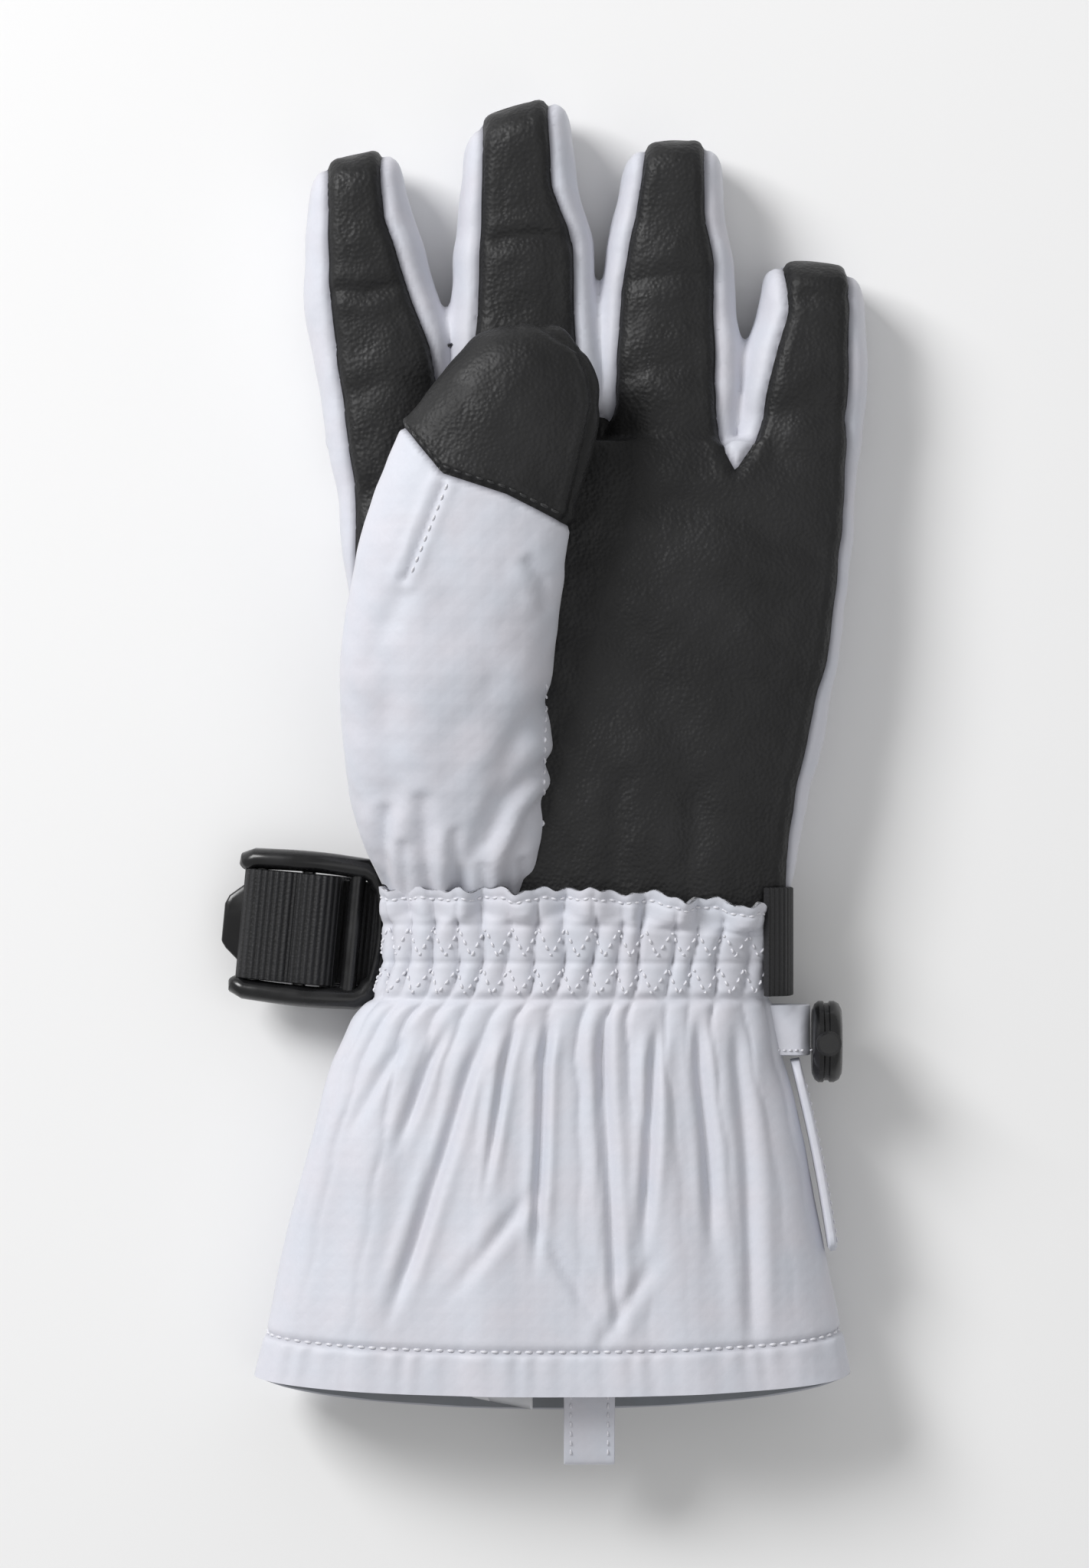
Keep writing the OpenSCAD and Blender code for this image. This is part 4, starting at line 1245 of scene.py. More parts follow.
@dataclass
class Cuff:
    """The gathered wrist band and the flared cuff below it, with its facing and lining."""

    layout: Layout
    wardrobe: Wardrobe
    columns: int = 380
    pleats: int = 34
    wall: float = 1.0
    ruffle_y: float = 9.6
    hem_y: float = -79.6
    hem_stitch: float = 8.2
    front_sag: float = 3.4
    back_sag: float = 8.0
    seed: int = 7
    cut: tuple[float, float] = (0.262, 0.092)

    def ring_at(self, y: float, inset: float = 0.0, count: int = 180) -> Array:
        """Draw the cuff's smooth section at one height, spaced evenly round.

        Args:
            y: The nominal height, in millimetres.
            inset: How far inside the shell it lies.
            count: Points round it, from the little-finger side over the palm.

        Returns:
            The section's points.
        """
        left, right, low, high = (float(eased(y, np.array(CUFF_ROWS), np.array(values), 2.0))
                                  for values in (CUFF_LEFT, CUFF_RIGHT, CUFF_LOW, CUFF_HIGH))
        dense = ring(left + inset, right - inset, low + inset, high - inset, 0.0, 2.5, 2.9, 2000)
        closed = np.concatenate([dense, dense[:1]])
        length = np.r_[0.0, np.cumsum(np.linalg.norm(np.diff(closed, axis=0), axis=1))]
        at = np.linspace(0, length[-1], count, endpoint=False)
        section = np.stack([np.interp(at, length, closed[:, i]) for i in range(3)], 1)
        middle = (left + right) / 2
        across = np.sqrt(np.clip(1 - ((section[:, 0] - middle) / ((right - left) / 2)) ** 2, 0, 1))
        palm_side = section[:, 2] > (low + high) / 2
        drop = (np.where(palm_side, self.front_sag, self.back_sag) * across
                * float(smoothstep(-y, 18.0, 80.0)))
        slope = 3.0 * smoothstep(section[:, 0], 4.0, 42.0) * float(smoothstep(y, -4.0, 9.0))
        section[:, 1] = y - drop - slope
        return section

    def rows(self) -> Array:
        """Return the nominal heights, closest together over the gathered band."""
        return np.concatenate([np.arange(self.ruffle_y, -13.0, -0.44), np.arange(-13.2, -40.0, -0.8),
                               np.arange(-40.4, self.hem_stitch + self.hem_y + 3.0, -1.3),
                               np.arange(self.hem_stitch + self.hem_y + 3.0, self.hem_y - 0.01, -0.55)])

    def height(self, u: Array, y: Array, place: Array) -> Array:
        """Give the gathers, folds and seams as a height over the smooth section.

        Args:
            u: How far round, from 0 to 1.
            y: The nominal height, in millimetres.
            place: Each point, for unevenness.

        Returns:
            The height at each point, in millimetres.
        """
        rng = np.random.default_rng(self.seed)
        count = self.pleats
        jitter, strength = rng.uniform(-0.22, 0.22, count + 1), rng.uniform(0.6, 1.25, count + 1)
        reach, lean = rng.uniform(5.0, 42.0, count + 1), rng.uniform(-0.5, 0.5, count + 1)
        for held in (jitter, strength, reach, lean):
            held[-1] = held[0]
        knots = np.arange(count + 1) / count
        phase = u * count + np.interp(u, knots, jitter) + 0.07 * np.sin(y * 0.45 + u * 60)
        part = np.abs(np.sin(np.pi * phase))
        puff = part ** 0.6
        band = smoothstep(y, -10.8, -8.6) * (1 - smoothstep(y, 3.0, 5.0))
        power = np.interp(u, knots, strength)
        sewn_row = np.exp(-((y - 0.0) / 3.3) ** 4) + np.exp(-((y + 7.0) / 2.9) ** 4)
        total = band * power * (puff - 0.4) * (1.85 - 0.55 * sewn_row)
        total -= 0.45 * np.exp(-((y - 3.3) / 0.7) ** 2) + 0.35 * np.exp(-((y + 3.7) / 0.6) ** 2)
        total -= 0.35 * np.exp(-((y + 10.2) / 0.8) ** 2)
        ruffle = smoothstep(y, 2.8, 5.6)
        slow = (np.sin(2 * np.pi * (phase * 0.5 + 0.2 * np.sin(u * 31)))
                + 0.7 * np.sin(2 * np.pi * (phase * 0.37 + 0.4)))
        total += ruffle * (0.85 * slow + 1.25 * power * (puff - 0.6) * (1 - 0.45 * smoothstep(y, 5.0, 9.0)))
        edge = self.ruffle_y - y
        total -= 0.4 * np.exp(-((edge - 1.7) / 0.45) ** 2)
        below = np.clip(-10.2 - y, 0, None)
        decay = np.exp(-below / np.interp(u, knots, reach))
        turned = phase + np.interp(u, knots, lean) * smoothstep(below, 2.0, 30.0)
        sharp = np.abs(np.sin(np.pi * turned)) ** 0.75
        started = smoothstep(below, 0.0, 2.0)
        total += started * decay * power * 1.1 * (sharp - 0.5)
        wide = np.sin(2 * np.pi * (u * 7 + 0.15 * np.sin(u * 25) + below * 0.004))
        wide += 0.8 * np.sin(2 * np.pi * (u * 12 + 0.3 + 0.1 * np.sin(u * 44)) + below * 0.03)
        total += wide * 0.5 * smoothstep(below, 2.0, 22.0) * (1 - 0.45 * smoothstep(below, 40.0, 66.0))
        total += 0.35 * ripple(place, 16.0, 21, (1.0, 0.55, 1.0)) * smoothstep(below, 4.0, 20.0)
        for spot, run, deep, width, way in CUFF_FOLDS:
            size = 190.0 + 1.1 * below
            away = (u - spot - way * (below - run[0])) * size
            span = (smoothstep(below, run[0] - 9.0, run[0])
                    * (1 - smoothstep(below, run[1] - 16.0, run[1])))
            total += span * deep * (0.5 * np.exp(-((np.abs(away) - 2.3 * width) / (1.3 * width)) ** 2)
                                    - np.exp(-(away / width) ** 2))
        stitch = y - (self.hem_y + self.hem_stitch)
        total -= 0.55 * np.exp(-(stitch / 0.6) ** 2)
        hem = smoothstep(-stitch, 0.0, 1.6)
        total += hem * (0.25 + 0.25 * np.sin(2 * np.pi * (u * 46 + 0.3 * np.sin(u * 70)))
                        * np.exp(stitch / 5.0))
        return total

    def shell(self) -> tuple[Skin, Array, Array]:
        """Build the gathered outer cloth.

        Returns:
            The open skin, its grid of points and its rows.
        """
        rows = self.rows()
        grid = np.stack([self.ring_at(float(y), 0.0, self.columns) for y in rows])
        u = np.arange(self.columns) / self.columns
        around = np.roll(grid, -1, axis=1) - np.roll(grid, 1, axis=1)
        along = np.gradient(grid, axis=0)
        normal = np.cross(along, around)
        normal /= np.linalg.norm(normal, axis=2)[..., None]
        outward = np.sign((normal * (grid - grid.mean(axis=1, keepdims=True))).sum(axis=2).mean())
        normal *= outward
        uu, yy = np.broadcast_to(u, grid.shape[:2]), np.broadcast_to(rows[:, None], grid.shape[:2])
        height = self.height(uu.ravel(), yy.ravel(), grid.reshape(-1, 3)).reshape(grid.shape[:2])
        low_side = smoothstep(-normal[..., 2], 0.5, 0.95)
        height = height * (1 - 0.75 * low_side)
        grid = grid + normal * height[..., None]
        scallop = smoothstep(yy, self.ruffle_y - 4.0, self.ruffle_y)
        grid[..., 1] += scallop * (0.45 * np.sin(uu * 2 * np.pi * 19 + 2 * np.sin(uu * 17))
                                   + 0.3 * np.sin(uu * 2 * np.pi * 43))
        grid[..., 2] = np.maximum(grid[..., 2], FLOOR_GAP)
        skin = Skin.from_rings(list(grid), False, False)
        # Painted shade: the seam attribute darkens the hem stitch groove and the hollows between the gathers.
        seam = 0.5 * np.exp(-((yy - (self.hem_y + self.hem_stitch)) / 0.35) ** 2)
        gathers = smoothstep(yy, -14.0, -8.0) * (1 - smoothstep(yy, 2.0, 8.0))
        hollow = (np.roll(height, 2, axis=1) + np.roll(height, -2, axis=1)) / 2 - height
        seam += 0.42 * gathers * smoothstep(hollow, 0.25, 0.9)
        skin.data["seam"] = seam.ravel()
        out = skin.normals()
        if (out * (skin.points - skin.points.mean(axis=0)))[:, [0, 2]].sum() < 0:
            skin.faces = skin.faces[:, ::-1].copy()
            out = -out
        skin.data["normal"] = out
        return skin, grid, rows

    def sit(self, grid: Array, rows: Array, u: float, y: float) -> Vector:
        """Find a place on the finished cloth, in the frame."""
        row = float(np.interp(-y, -rows, np.arange(len(rows))))
        column = (u % 1.0) * self.columns
        r0, c0 = int(row), int(column)
        r1, c1 = min(r0 + 1, len(rows) - 1), (c0 + 1) % self.columns
        c0 %= self.columns
        fr, fc = row - int(row), column - int(column)
        spot = ((grid[r0, c0] * (1 - fc) + grid[r0, c1] * fc) * (1 - fr)
                + (grid[r1, c0] * (1 - fc) + grid[r1, c1] * fc) * fr)
        return Vector(self.layout.cloud(spot[None, :])[0])

    def row_of_stitches(self, name: str, grid: Array, rows: Array, line: list[tuple[float, float]],
                        pitch: float, fill: float, radius: float) -> None:
        """Sew along a line drawn on the unrolled cuff.

        Args:
            name: The row's name.
            grid: The cuff's finished points.
            rows: The cuff's nominal heights.
            line: The line's corners, as how far round and how high.
            pitch: One stitch and one gap, in millimetres.
            fill: The stitch's share of the pitch.
            radius: The thread's radius, in millimetres.
        """
        dense = []
        for (ua, ya), (ub, yb) in zip(line, line[1:]):
            steps = max(2, int(abs(ub - ua) * 1500) + int(abs(yb - ya) * 8))
            dense += [(ua + (ub - ua) * i / steps, ya + (yb - ya) * i / steps) for i in range(steps)]
        places = [self.sit(grid, rows, u, y) for u, y in dense]
        length = np.r_[0.0, np.cumsum([(b - a).length for a, b in zip(places, places[1:])])] / MM
        flat = np.array([list(place) for place in places])
        starts = np.arange(0.0, length[-1] - pitch, pitch)
        spans = []
        for start in starts:
            ends = [Vector([np.interp(at, length, flat[:, i]) for i in range(3)])
                    for at in (start, start + pitch * fill)]
            u = float(np.interp(start, length, [spot[0] for spot in dense]))
            y = float(np.interp(start, length, [spot[1] for spot in dense]))
            side = self.sit(grid, rows, u + 0.002, y) - self.sit(grid, rows, u - 0.002, y)
            up = self.sit(grid, rows, u, y + 0.5) - self.sit(grid, rows, u, y - 0.5)
            normal = up.cross(side).normalized()
            centre = Vector(self.layout.point(3.0, y, 14.0))
            if normal.dot(ends[0] - centre) < 0:
                normal.negate()
            spans.append((ends[0], ends[1], normal))
        row = sewn(name, spans, radius, self.wardrobe.pale_thread)
        stow(row, "shell_fabric", Body.HAND)

    def stitches(self, grid: Array, rows: Array) -> None:
        """Sew the ruffle, the two zigzags of the shirring and the hem."""
        whole = [(i / 180, 0.0) for i in range(181)]
        self.row_of_stitches("ruffle_stitches", grid, rows, [(u, self.ruffle_y - 1.7) for u, _ in whole],
                             1.75, 0.62, 0.24)
        self.row_of_stitches("hem_stitches", grid, rows,
                             [(u, self.hem_y + self.hem_stitch) for u, _ in whole], 2.05, 0.64, 0.28)
        for name, high, low in (("upper_zigzag_stitches", 2.7, -2.5), ("lower_zigzag_stitches", -4.7, -9.5)):
            line = [(i / (2 * self.pleats), low if i % 2 else high) for i in range(2 * self.pleats + 1)]
            self.row_of_stitches(name, grid, rows, line, 1.75, 0.58, 0.25)

    def facing(self) -> None:
        """Line the mouth with a cloth facing and the rest with brushed lining up into the hand."""
        for name, top, bottom, inset, material, slot, nodes, cut in (
            ("cuff_facing", -60.0, -79.0, 1.2, self.wardrobe.facing, "shell_fabric", ("cuff_hem",),
             (0.262, 0.022)),
            ("cuff_lining_tube", -12.0, -62.0, 4.0, self.wardrobe.lining, "lining",
             ("cuff_lining", "wrist_elastic"), (0.215, 0.048)),
        ):
            rows = np.arange(top, bottom - 0.01, -1.0)
            grid = [self.ring_at(float(y), inset + 1.3 * float(smoothstep(y, -71.0, -62.0))) for y in rows]
            skin = Skin.from_rings(grid, False, False)
            normal = skin.normals()
            loose = (0.3 * ripple(skin.points, 13.0, 31, (1.0, 0.4, 1.0))
                     + 0.15 * ripple(skin.points, 5.0, 32, (1.0, 0.4, 1.0)))
            if (normal * (skin.points - skin.points.mean(axis=0)))[:, [0, 2]].sum() < 0:
                skin.faces, normal = skin.faces[:, ::-1].copy(), -normal
            skin.points = skin.points - normal * (0.35 + loose)[:, None]
            skin.data["normal"] = skin.normals()
            skin.data["seam"] = np.zeros(len(skin.points))
            piece = skin.thick(0.8).build(name, self.layout, material)
            stow(piece, slot, Body.HAND, *nodes)
        y = np.arange(-13.0, 76.0, 2.0)
        left, right = eased(y, np.array([-13, 8, 40, 76]), np.array([-30, -27, -31.5, -33])), eased(
            y, np.array([-13, 8, 40, 76]), np.array([36, 36, 45, 48]))
        low, high = eased(y, np.array([-13, 12, 76]), np.array([6.6, 6.6, 4.2])), eased(
            y, np.array([-13, 12, 76]), np.array([22.6, 21.0, 20.2]))
        skin = Skin.from_rings([ring(l, r, a, b, row, 2.5, 2.9, 120)
                                for l, r, a, b, row in zip(left, right, low, high, y)],
                               False, True)
        skin.data["seam"] = np.zeros(len(skin.points))
        if (skin.normals() * (skin.points - skin.points.mean(axis=0)))[:, [0, 2]].sum() < 0:
            skin.faces = skin.faces[:, ::-1].copy()
        piece = skin.thick(0.8).build("hand_lining_pocket", self.layout, self.wardrobe.lining)
        stow(piece, "lining", Body.HAND, "hand_lining")

    def dress(self) -> None:
        """Build the cuff."""
        skin, grid, rows = self.shell()
        piece = skin.thick(self.wall).build("gathered_cuff", self.layout, self.wardrobe.cloth)
        stow(piece, "shell_fabric", Body.HAND, "cuff_shell", "drawcord")
        self.stitches(grid, rows)
        self.facing()


def ribbon_mesh(name: str, layout: Layout, path: list[tuple[float, float, float]],
                width: float, thick: float, across: tuple[float, float, float],
                material: bpy.types.Material, edge: float = 0.35) -> bpy.types.Object:
    """Make a flat strap that follows a path, with rounded selvedges.

    Args:
        name: The piece's name.
        layout: Places the drawing in the frame.
        path: The strap's middle line, in drawing millimetres.
        width: Its width in millimetres.
        thick: Its thickness in millimetres.
        across: The direction of its width.
        material: Its finish.
        edge: How far its edges are rounded.

    Returns:
        The strap, with how far along it held at each point.
    """
    centre = np.array(path, dtype=float)
    for _ in range(2):
        finer = np.empty((len(centre) * 2 - 1, 3))
        finer[::2] = centre
        finer[1::2] = (centre[:-1] + centre[1:]) / 2
        finer[2:-2:2] = finer[2:-2:2] * 0.5 + (finer[1:-3:2] + finer[3:-1:2]) * 0.25
        centre = finer
    side = np.array(across, dtype=float)
    side /= np.linalg.norm(side)
    forward = np.gradient(centre, axis=0)
    up = np.cross(forward, side)
    up /= np.linalg.norm(up, axis=1)[:, None]
    outline = []
    for u in np.linspace(-width / 2 + edge, width / 2 - edge, 15):
        outline.append((u, thick / 2))
    for turn in (60, 20, -20, -60):
        outline.append((width / 2 - edge + edge * math.cos(math.radians(turn)),
                        thick / 2 * math.sin(math.radians(turn)) * 1.1))
    for u in np.linspace(width / 2 - edge, -width / 2 + edge, 15):
        outline.append((u, -thick / 2))
    for turn in (240, 200, 160, 120):
        outline.append((-width / 2 + edge + edge * math.cos(math.radians(turn)),
                        thick / 2 * math.sin(math.radians(turn)) * 1.1))
    rings = [spot + np.array([u * side + v * lift for u, v in outline]) for spot, lift in zip(centre, up)]
    skin = Skin.from_rings(rings)
    length = np.r_[0.0, np.cumsum(np.linalg.norm(np.diff(centre, axis=0), axis=1))]
    along = np.repeat(length, len(outline))
    skin.data["along"] = np.r_[along, length[0], length[-1]]
    skin.data["seam"] = np.zeros(len(skin.points))
    piece = skin.build(name, layout, material)
    piece.data.shade_smooth()
    select_only(piece)
    bpy.ops.object.shade_smooth_by_angle(angle=math.radians(50))
    return piece


def select_only(piece: bpy.types.Object) -> None:
    """Make one object the only selected and the active one."""
    bpy.ops.object.select_all(action="DESELECT")
    piece.select_set(True)
    bpy.context.view_layer.objects.active = piece


def settle(piece: bpy.types.Object, bevel_mm: float = 0.0, segments: int = 3,
           smooth: float = 40.0) -> bpy.types.Object:
    """Round a modelled piece's edges and put its place into its mesh.

    Args:
        piece: The piece.
        bevel_mm: How far its edges are rounded.
        segments: Steps in the rounding.
        smooth: Edges flatter than this angle are shaded smooth.

    Returns:
        The piece, at the world origin.
    """
    select_only(piece)
    if bevel_mm:
        mod = piece.modifiers.new("rounded", "BEVEL")
        mod.width, mod.segments, mod.limit_method = bevel_mm * MM, segments, "ANGLE"
        mod.angle_limit = math.radians(30)
        bpy.ops.object.modifier_apply(modifier="rounded")
    bpy.ops.object.transform_apply(location=True, rotation=True, scale=True)
    bpy.ops.object.mode_set(mode="EDIT")
    bpy.ops.mesh.select_all(action="SELECT")
    bpy.ops.mesh.remove_doubles(threshold=0.00001)
    bpy.ops.mesh.normals_make_consistent(inside=False)
    bpy.ops.object.mode_set(mode="OBJECT")
    bpy.ops.object.shade_smooth_by_angle(angle=math.radians(smooth))
    return piece


def joined_up(name: str, parts: list[bpy.types.Object], material: bpy.types.Material) -> bpy.types.Object:
    """Join modelled parts into one piece."""
    bpy.ops.object.select_all(action="DESELECT")
    for part in parts:
        part.select_set(True)
    bpy.context.view_layer.objects.active = parts[0]
    if len(parts) > 1:
        bpy.ops.object.join()
    piece = bpy.context.object
    piece.name = piece.data.name = name
    piece.data.materials.clear()
    piece.data.materials.append(material)
    return piece


@dataclass
class Buckle:
    """The ladder buckle, its webbing and the strap's ends, all about the anchor bar."""

    layout: Layout
    wardrobe: Wardrobe
    lean: float = 5.5
    pitch: float = 8.75
    inner_width: float = 20.8
    rail: float = 3.4
    web: float = 20.0
    web_thick: float = 1.5

    def __post_init__(self) -> None:
        """Find the anchor bar from its webbing."""
        low, high = self.layout.drawn("buckle_anchor")
        self.anchor = np.array([-37.6, (low[1] + high[1]) / 2 + 0.2, (low[2] + high[2]) / 2])
        turn = math.radians(-self.lean)
        self.across = (-math.sin(turn), math.cos(turn), 0.0)
        self.out = (math.cos(turn), math.sin(turn), 0.0)

    def at(self, x: float, y: float, z: float) -> tuple[float, float, float]:
        """Turn a point measured from the anchor bar into the drawing."""
        return (self.anchor[0] + self.out[0] * x + self.across[0] * y,
                self.anchor[1] + self.out[1] * x + self.across[1] * y, self.anchor[2] + z)

    def rod(self, name: str, path: list[tuple[float, float, float]], radius: tuple[float, float],
            sides: int = 16,
            ends: float = 0.6) -> bpy.types.Object:
        """Extrude a rounded rod along a path measured from the anchor bar.

        Args:
            name: The rod's name.
            path: Its middle line.
            radius: Half its width and half its height, in millimetres.
            sides: Faces round it.
            ends: How far the ends are drawn in.

        Returns:
            The rod.
        """
        bpy.ops.object.select_all(action="DESELECT")
        bpy.ops.mesh.primitive_circle_add(vertices=sides, radius=1.0, fill_type="NGON", location=(0, 0, 0))
        rod = bpy.context.object
        rod.name = name
        spots = [Vector(self.layout.point(*self.at(*spot))) for spot in path]
        ways = [(b - a).normalized() for a, b in zip(spots, spots[1:])]
        frames = []
        for i in range(len(spots)):
            way = (ways[max(i - 1, 0)] + ways[min(i, len(ways) - 1)]).normalized()
            side = way.cross(Vector((0, 0, 1))).normalized()
            frames.append((way, side, side.cross(way)))
        bpy.ops.object.mode_set(mode="EDIT")
        for _ in range(len(spots) - 1):
            bpy.ops.mesh.extrude_region_move(TRANSFORM_OT_translate={"value": (0, 0, 1)})
        bpy.ops.object.mode_set(mode="OBJECT")
        for vertex in rod.data.vertices:
            level = min(len(spots) - 1, int(round(vertex.co.z)))
            way, side, up = frames[level]
            shrink = ends if level in (0, len(spots) - 1) else 1.0
            vertex.co = (spots[level] + side * (vertex.co.x * radius[0] * MM * shrink)
                         + up * (vertex.co.y * radius[1] * MM * shrink))
        return rod

    def frame(self) -> None:
        """Model the frame: two rails, three bars, a bowed end and a lift tab."""
        half = (self.inner_width + self.rail) / 2
        left = -2 * self.pitch
        parts = []
        for side in (-1, 1):
            path = [(left - 3.2, side * (half - 1.6), -0.6), (left - 2.6, side * (half - 0.7), -0.2),
                    (left - 1.0, side * half, 0.4)]
            path += [(left + t * (2 * self.pitch + 1.0), side * (half + 0.35 * math.sin(math.pi * t)),
                      0.5 + 0.7 * math.sin(math.pi * t))
                     for t in np.linspace(0.1, 0.9, 9)]
            path += [(1.6, side * half, 0.5), (3.4, side * (half - 0.8), 0.2),
                     (4.4, side * (half - 2.4), -0.1), (4.8, side * (half - 4.0), -0.2)]
            parts.append(self.rod("rail", path, (1.95, 2.6)))
        for x, radius, lift in ((0.4, (1.5, 1.7), 0.4), (-self.pitch, (1.3, 1.3), 0.0),
                                (left, (1.4, 1.5), 0.0)):
            parts.append(self.rod("bar",
                                  [(x, -half, lift), (x, -half * 0.5, lift), (x, 0, lift),
                                   (x, half * 0.5, lift), (x, half, lift)],
                                  radius, 12, 1.0))
        for step, (bow, lift, size) in enumerate(((3.6, 0.8, 0.75), (5.0, 0.2, 0.8), (6.3, -0.6, 0.8))):
            path = [(2.6 + bow * 0.3 + (bow - 0.6 * step) * math.cos(math.pi / 2 * s) ** 0.8 * 0.5,
                     s * (half - 0.6 - 0.5 * step), lift)
                    for s in np.linspace(-0.98, 0.98, 15)]
            parts.append(self.rod("ridge", path, (size, 1.1), 10, 0.7))
        piece = joined_up("buckle_ladder_frame", parts, self.wardrobe.plastic)
        settle(piece, 0.0, smooth=50.0)
        tab = self.tab()
        stow(piece, "moulded_plastic", Body.BUCKLE, "buckle_frame")
        stow(tab, "moulded_plastic", Body.BUCKLE)

    def tab(self) -> bpy.types.Object:
        """Model the lift tab, with a bevelled rim."""
        left = -2 * self.pitch
        outline = [(left - 1.2, -8.6), (left - 5.4, -5.0), (left - 6.3, -3.8), (left - 6.3, 3.2),
                   (left - 5.6, 4.8), (left - 1.0, 8.8),
                   (left + 0.6, 9.0), (left + 0.6, -8.8)]
        bpy.ops.object.select_all(action="DESELECT")
        bpy.ops.mesh.primitive_circle_add(vertices=len(outline), radius=1.0, fill_type="NGON")
        tab = bpy.context.object
        for vertex, (x, y) in zip(tab.data.vertices, outline):
            vertex.co = Vector(self.layout.point(*self.at(x, y, -4.1)))
        bpy.ops.object.mode_set(mode="EDIT")
        bpy.ops.mesh.select_all(action="SELECT")
        bpy.ops.mesh.extrude_region_move(TRANSFORM_OT_translate={"value": (0, 0, 1.9 * MM)})
        bpy.ops.mesh.inset(thickness=1.0 * MM, depth=-0.35 * MM)
        bpy.ops.object.mode_set(mode="OBJECT")
        piece = joined_up("buckle_lift_tab", [tab], self.wardrobe.plastic)
        return settle(piece, 0.35, 3, 40.0)

    def webs(self) -> None:
        """Model the webbing on the buckle, under the wrist and its free end."""
        t, r = self.web_thick, 1.9
        arc = [(math.cos(math.radians(a)), math.sin(math.radians(a))) for a in range(270, 89, -20)]
        path = [(0.6, -6.2), (-self.pitch * 0.6, -5.6)]
        path += [(-2 * self.pitch + c * (r + 0.4), s * (r + 0.4)) for c, s in arc]
        path += [(-2 * self.pitch + 3.2, 2.6), (-self.pitch - 3.6, 2.7), (-self.pitch - 2.2, 2.0),
                 (-self.pitch - 0.8, 2.7),
                 (-self.pitch + 2.0, 3.0), (-self.pitch + 4.2, 2.4), (-self.pitch + 5.6, 0.8),
                 (-self.pitch + 5.7, -1.6)]
        wrap = ribbon_mesh("strap_wrap_webbing", self.layout, [self.at(x, 0.0, z) for x, z in path],
                           self.inner_width - 0.4, t, self.across,
                           self.wardrobe.webbing)
        stow(wrap, "webbing", Body.BUCKLE, "strap_wrap")
        path = [(7.4, -0.6), (4.6, -1.9), (1.4, -2.7), (-1.6, -3.3), (-4.2, -3.8), (-5.0, -4.6), (-3.8, -5.2)]
        anchor = ribbon_mesh("buckle_anchor_webbing", self.layout, [self.at(x, 0.0, z) for x, z in path],
                             self.web - 0.6, 1.2,
                             self.across, self.wardrobe.webbing)
        stow(anchor, "webbing", Body.HAND, "buckle_anchor")
        low, high = self.layout.drawn("strap")
        mid_y = (low[1] + high[1]) / 2
        turn_x, turn_z, turn_r = high[0] - 12.7, 14.4, 12.15
        path = [(self.anchor[0] + 5.4, mid_y, 2.45), (self.anchor[0] + 10.0, mid_y, 2.45), (0.0, mid_y, 2.45)]
        path += [(turn_x + turn_r * math.cos(math.radians(a)), mid_y,
                  turn_z + turn_r * math.sin(math.radians(a)))
                 for a in range(-90, 40, 10)]
        path += [(turn_x + turn_r - 4.6, mid_y, turn_z + 8.4)]
        strap = ribbon_mesh("wrist_strap_webbing", self.layout, path, self.web, 1.4, (0, 1, 0),
                            self.wardrobe.webbing)
        stow(strap, "webbing", Body.HAND, "strap")
        low, high = self.layout.drawn("strap_tail")
        path = [(low[0], 0.0, 0.78), ((low[0] + high[0]) / 2, 0.0, 0.78), (high[0], 0.0, 0.78)]
        tail = ribbon_mesh("strap_free_end", self.layout, path, self.web - 0.4, 1.3, (0, 1, 0),
                           self.wardrobe.webbing)
        stow(tail, "webbing", Body.STRAP_END, "strap_tail")

    def dress(self) -> None:
        """Build the buckle and the strap."""
        self.frame()
        self.webs()


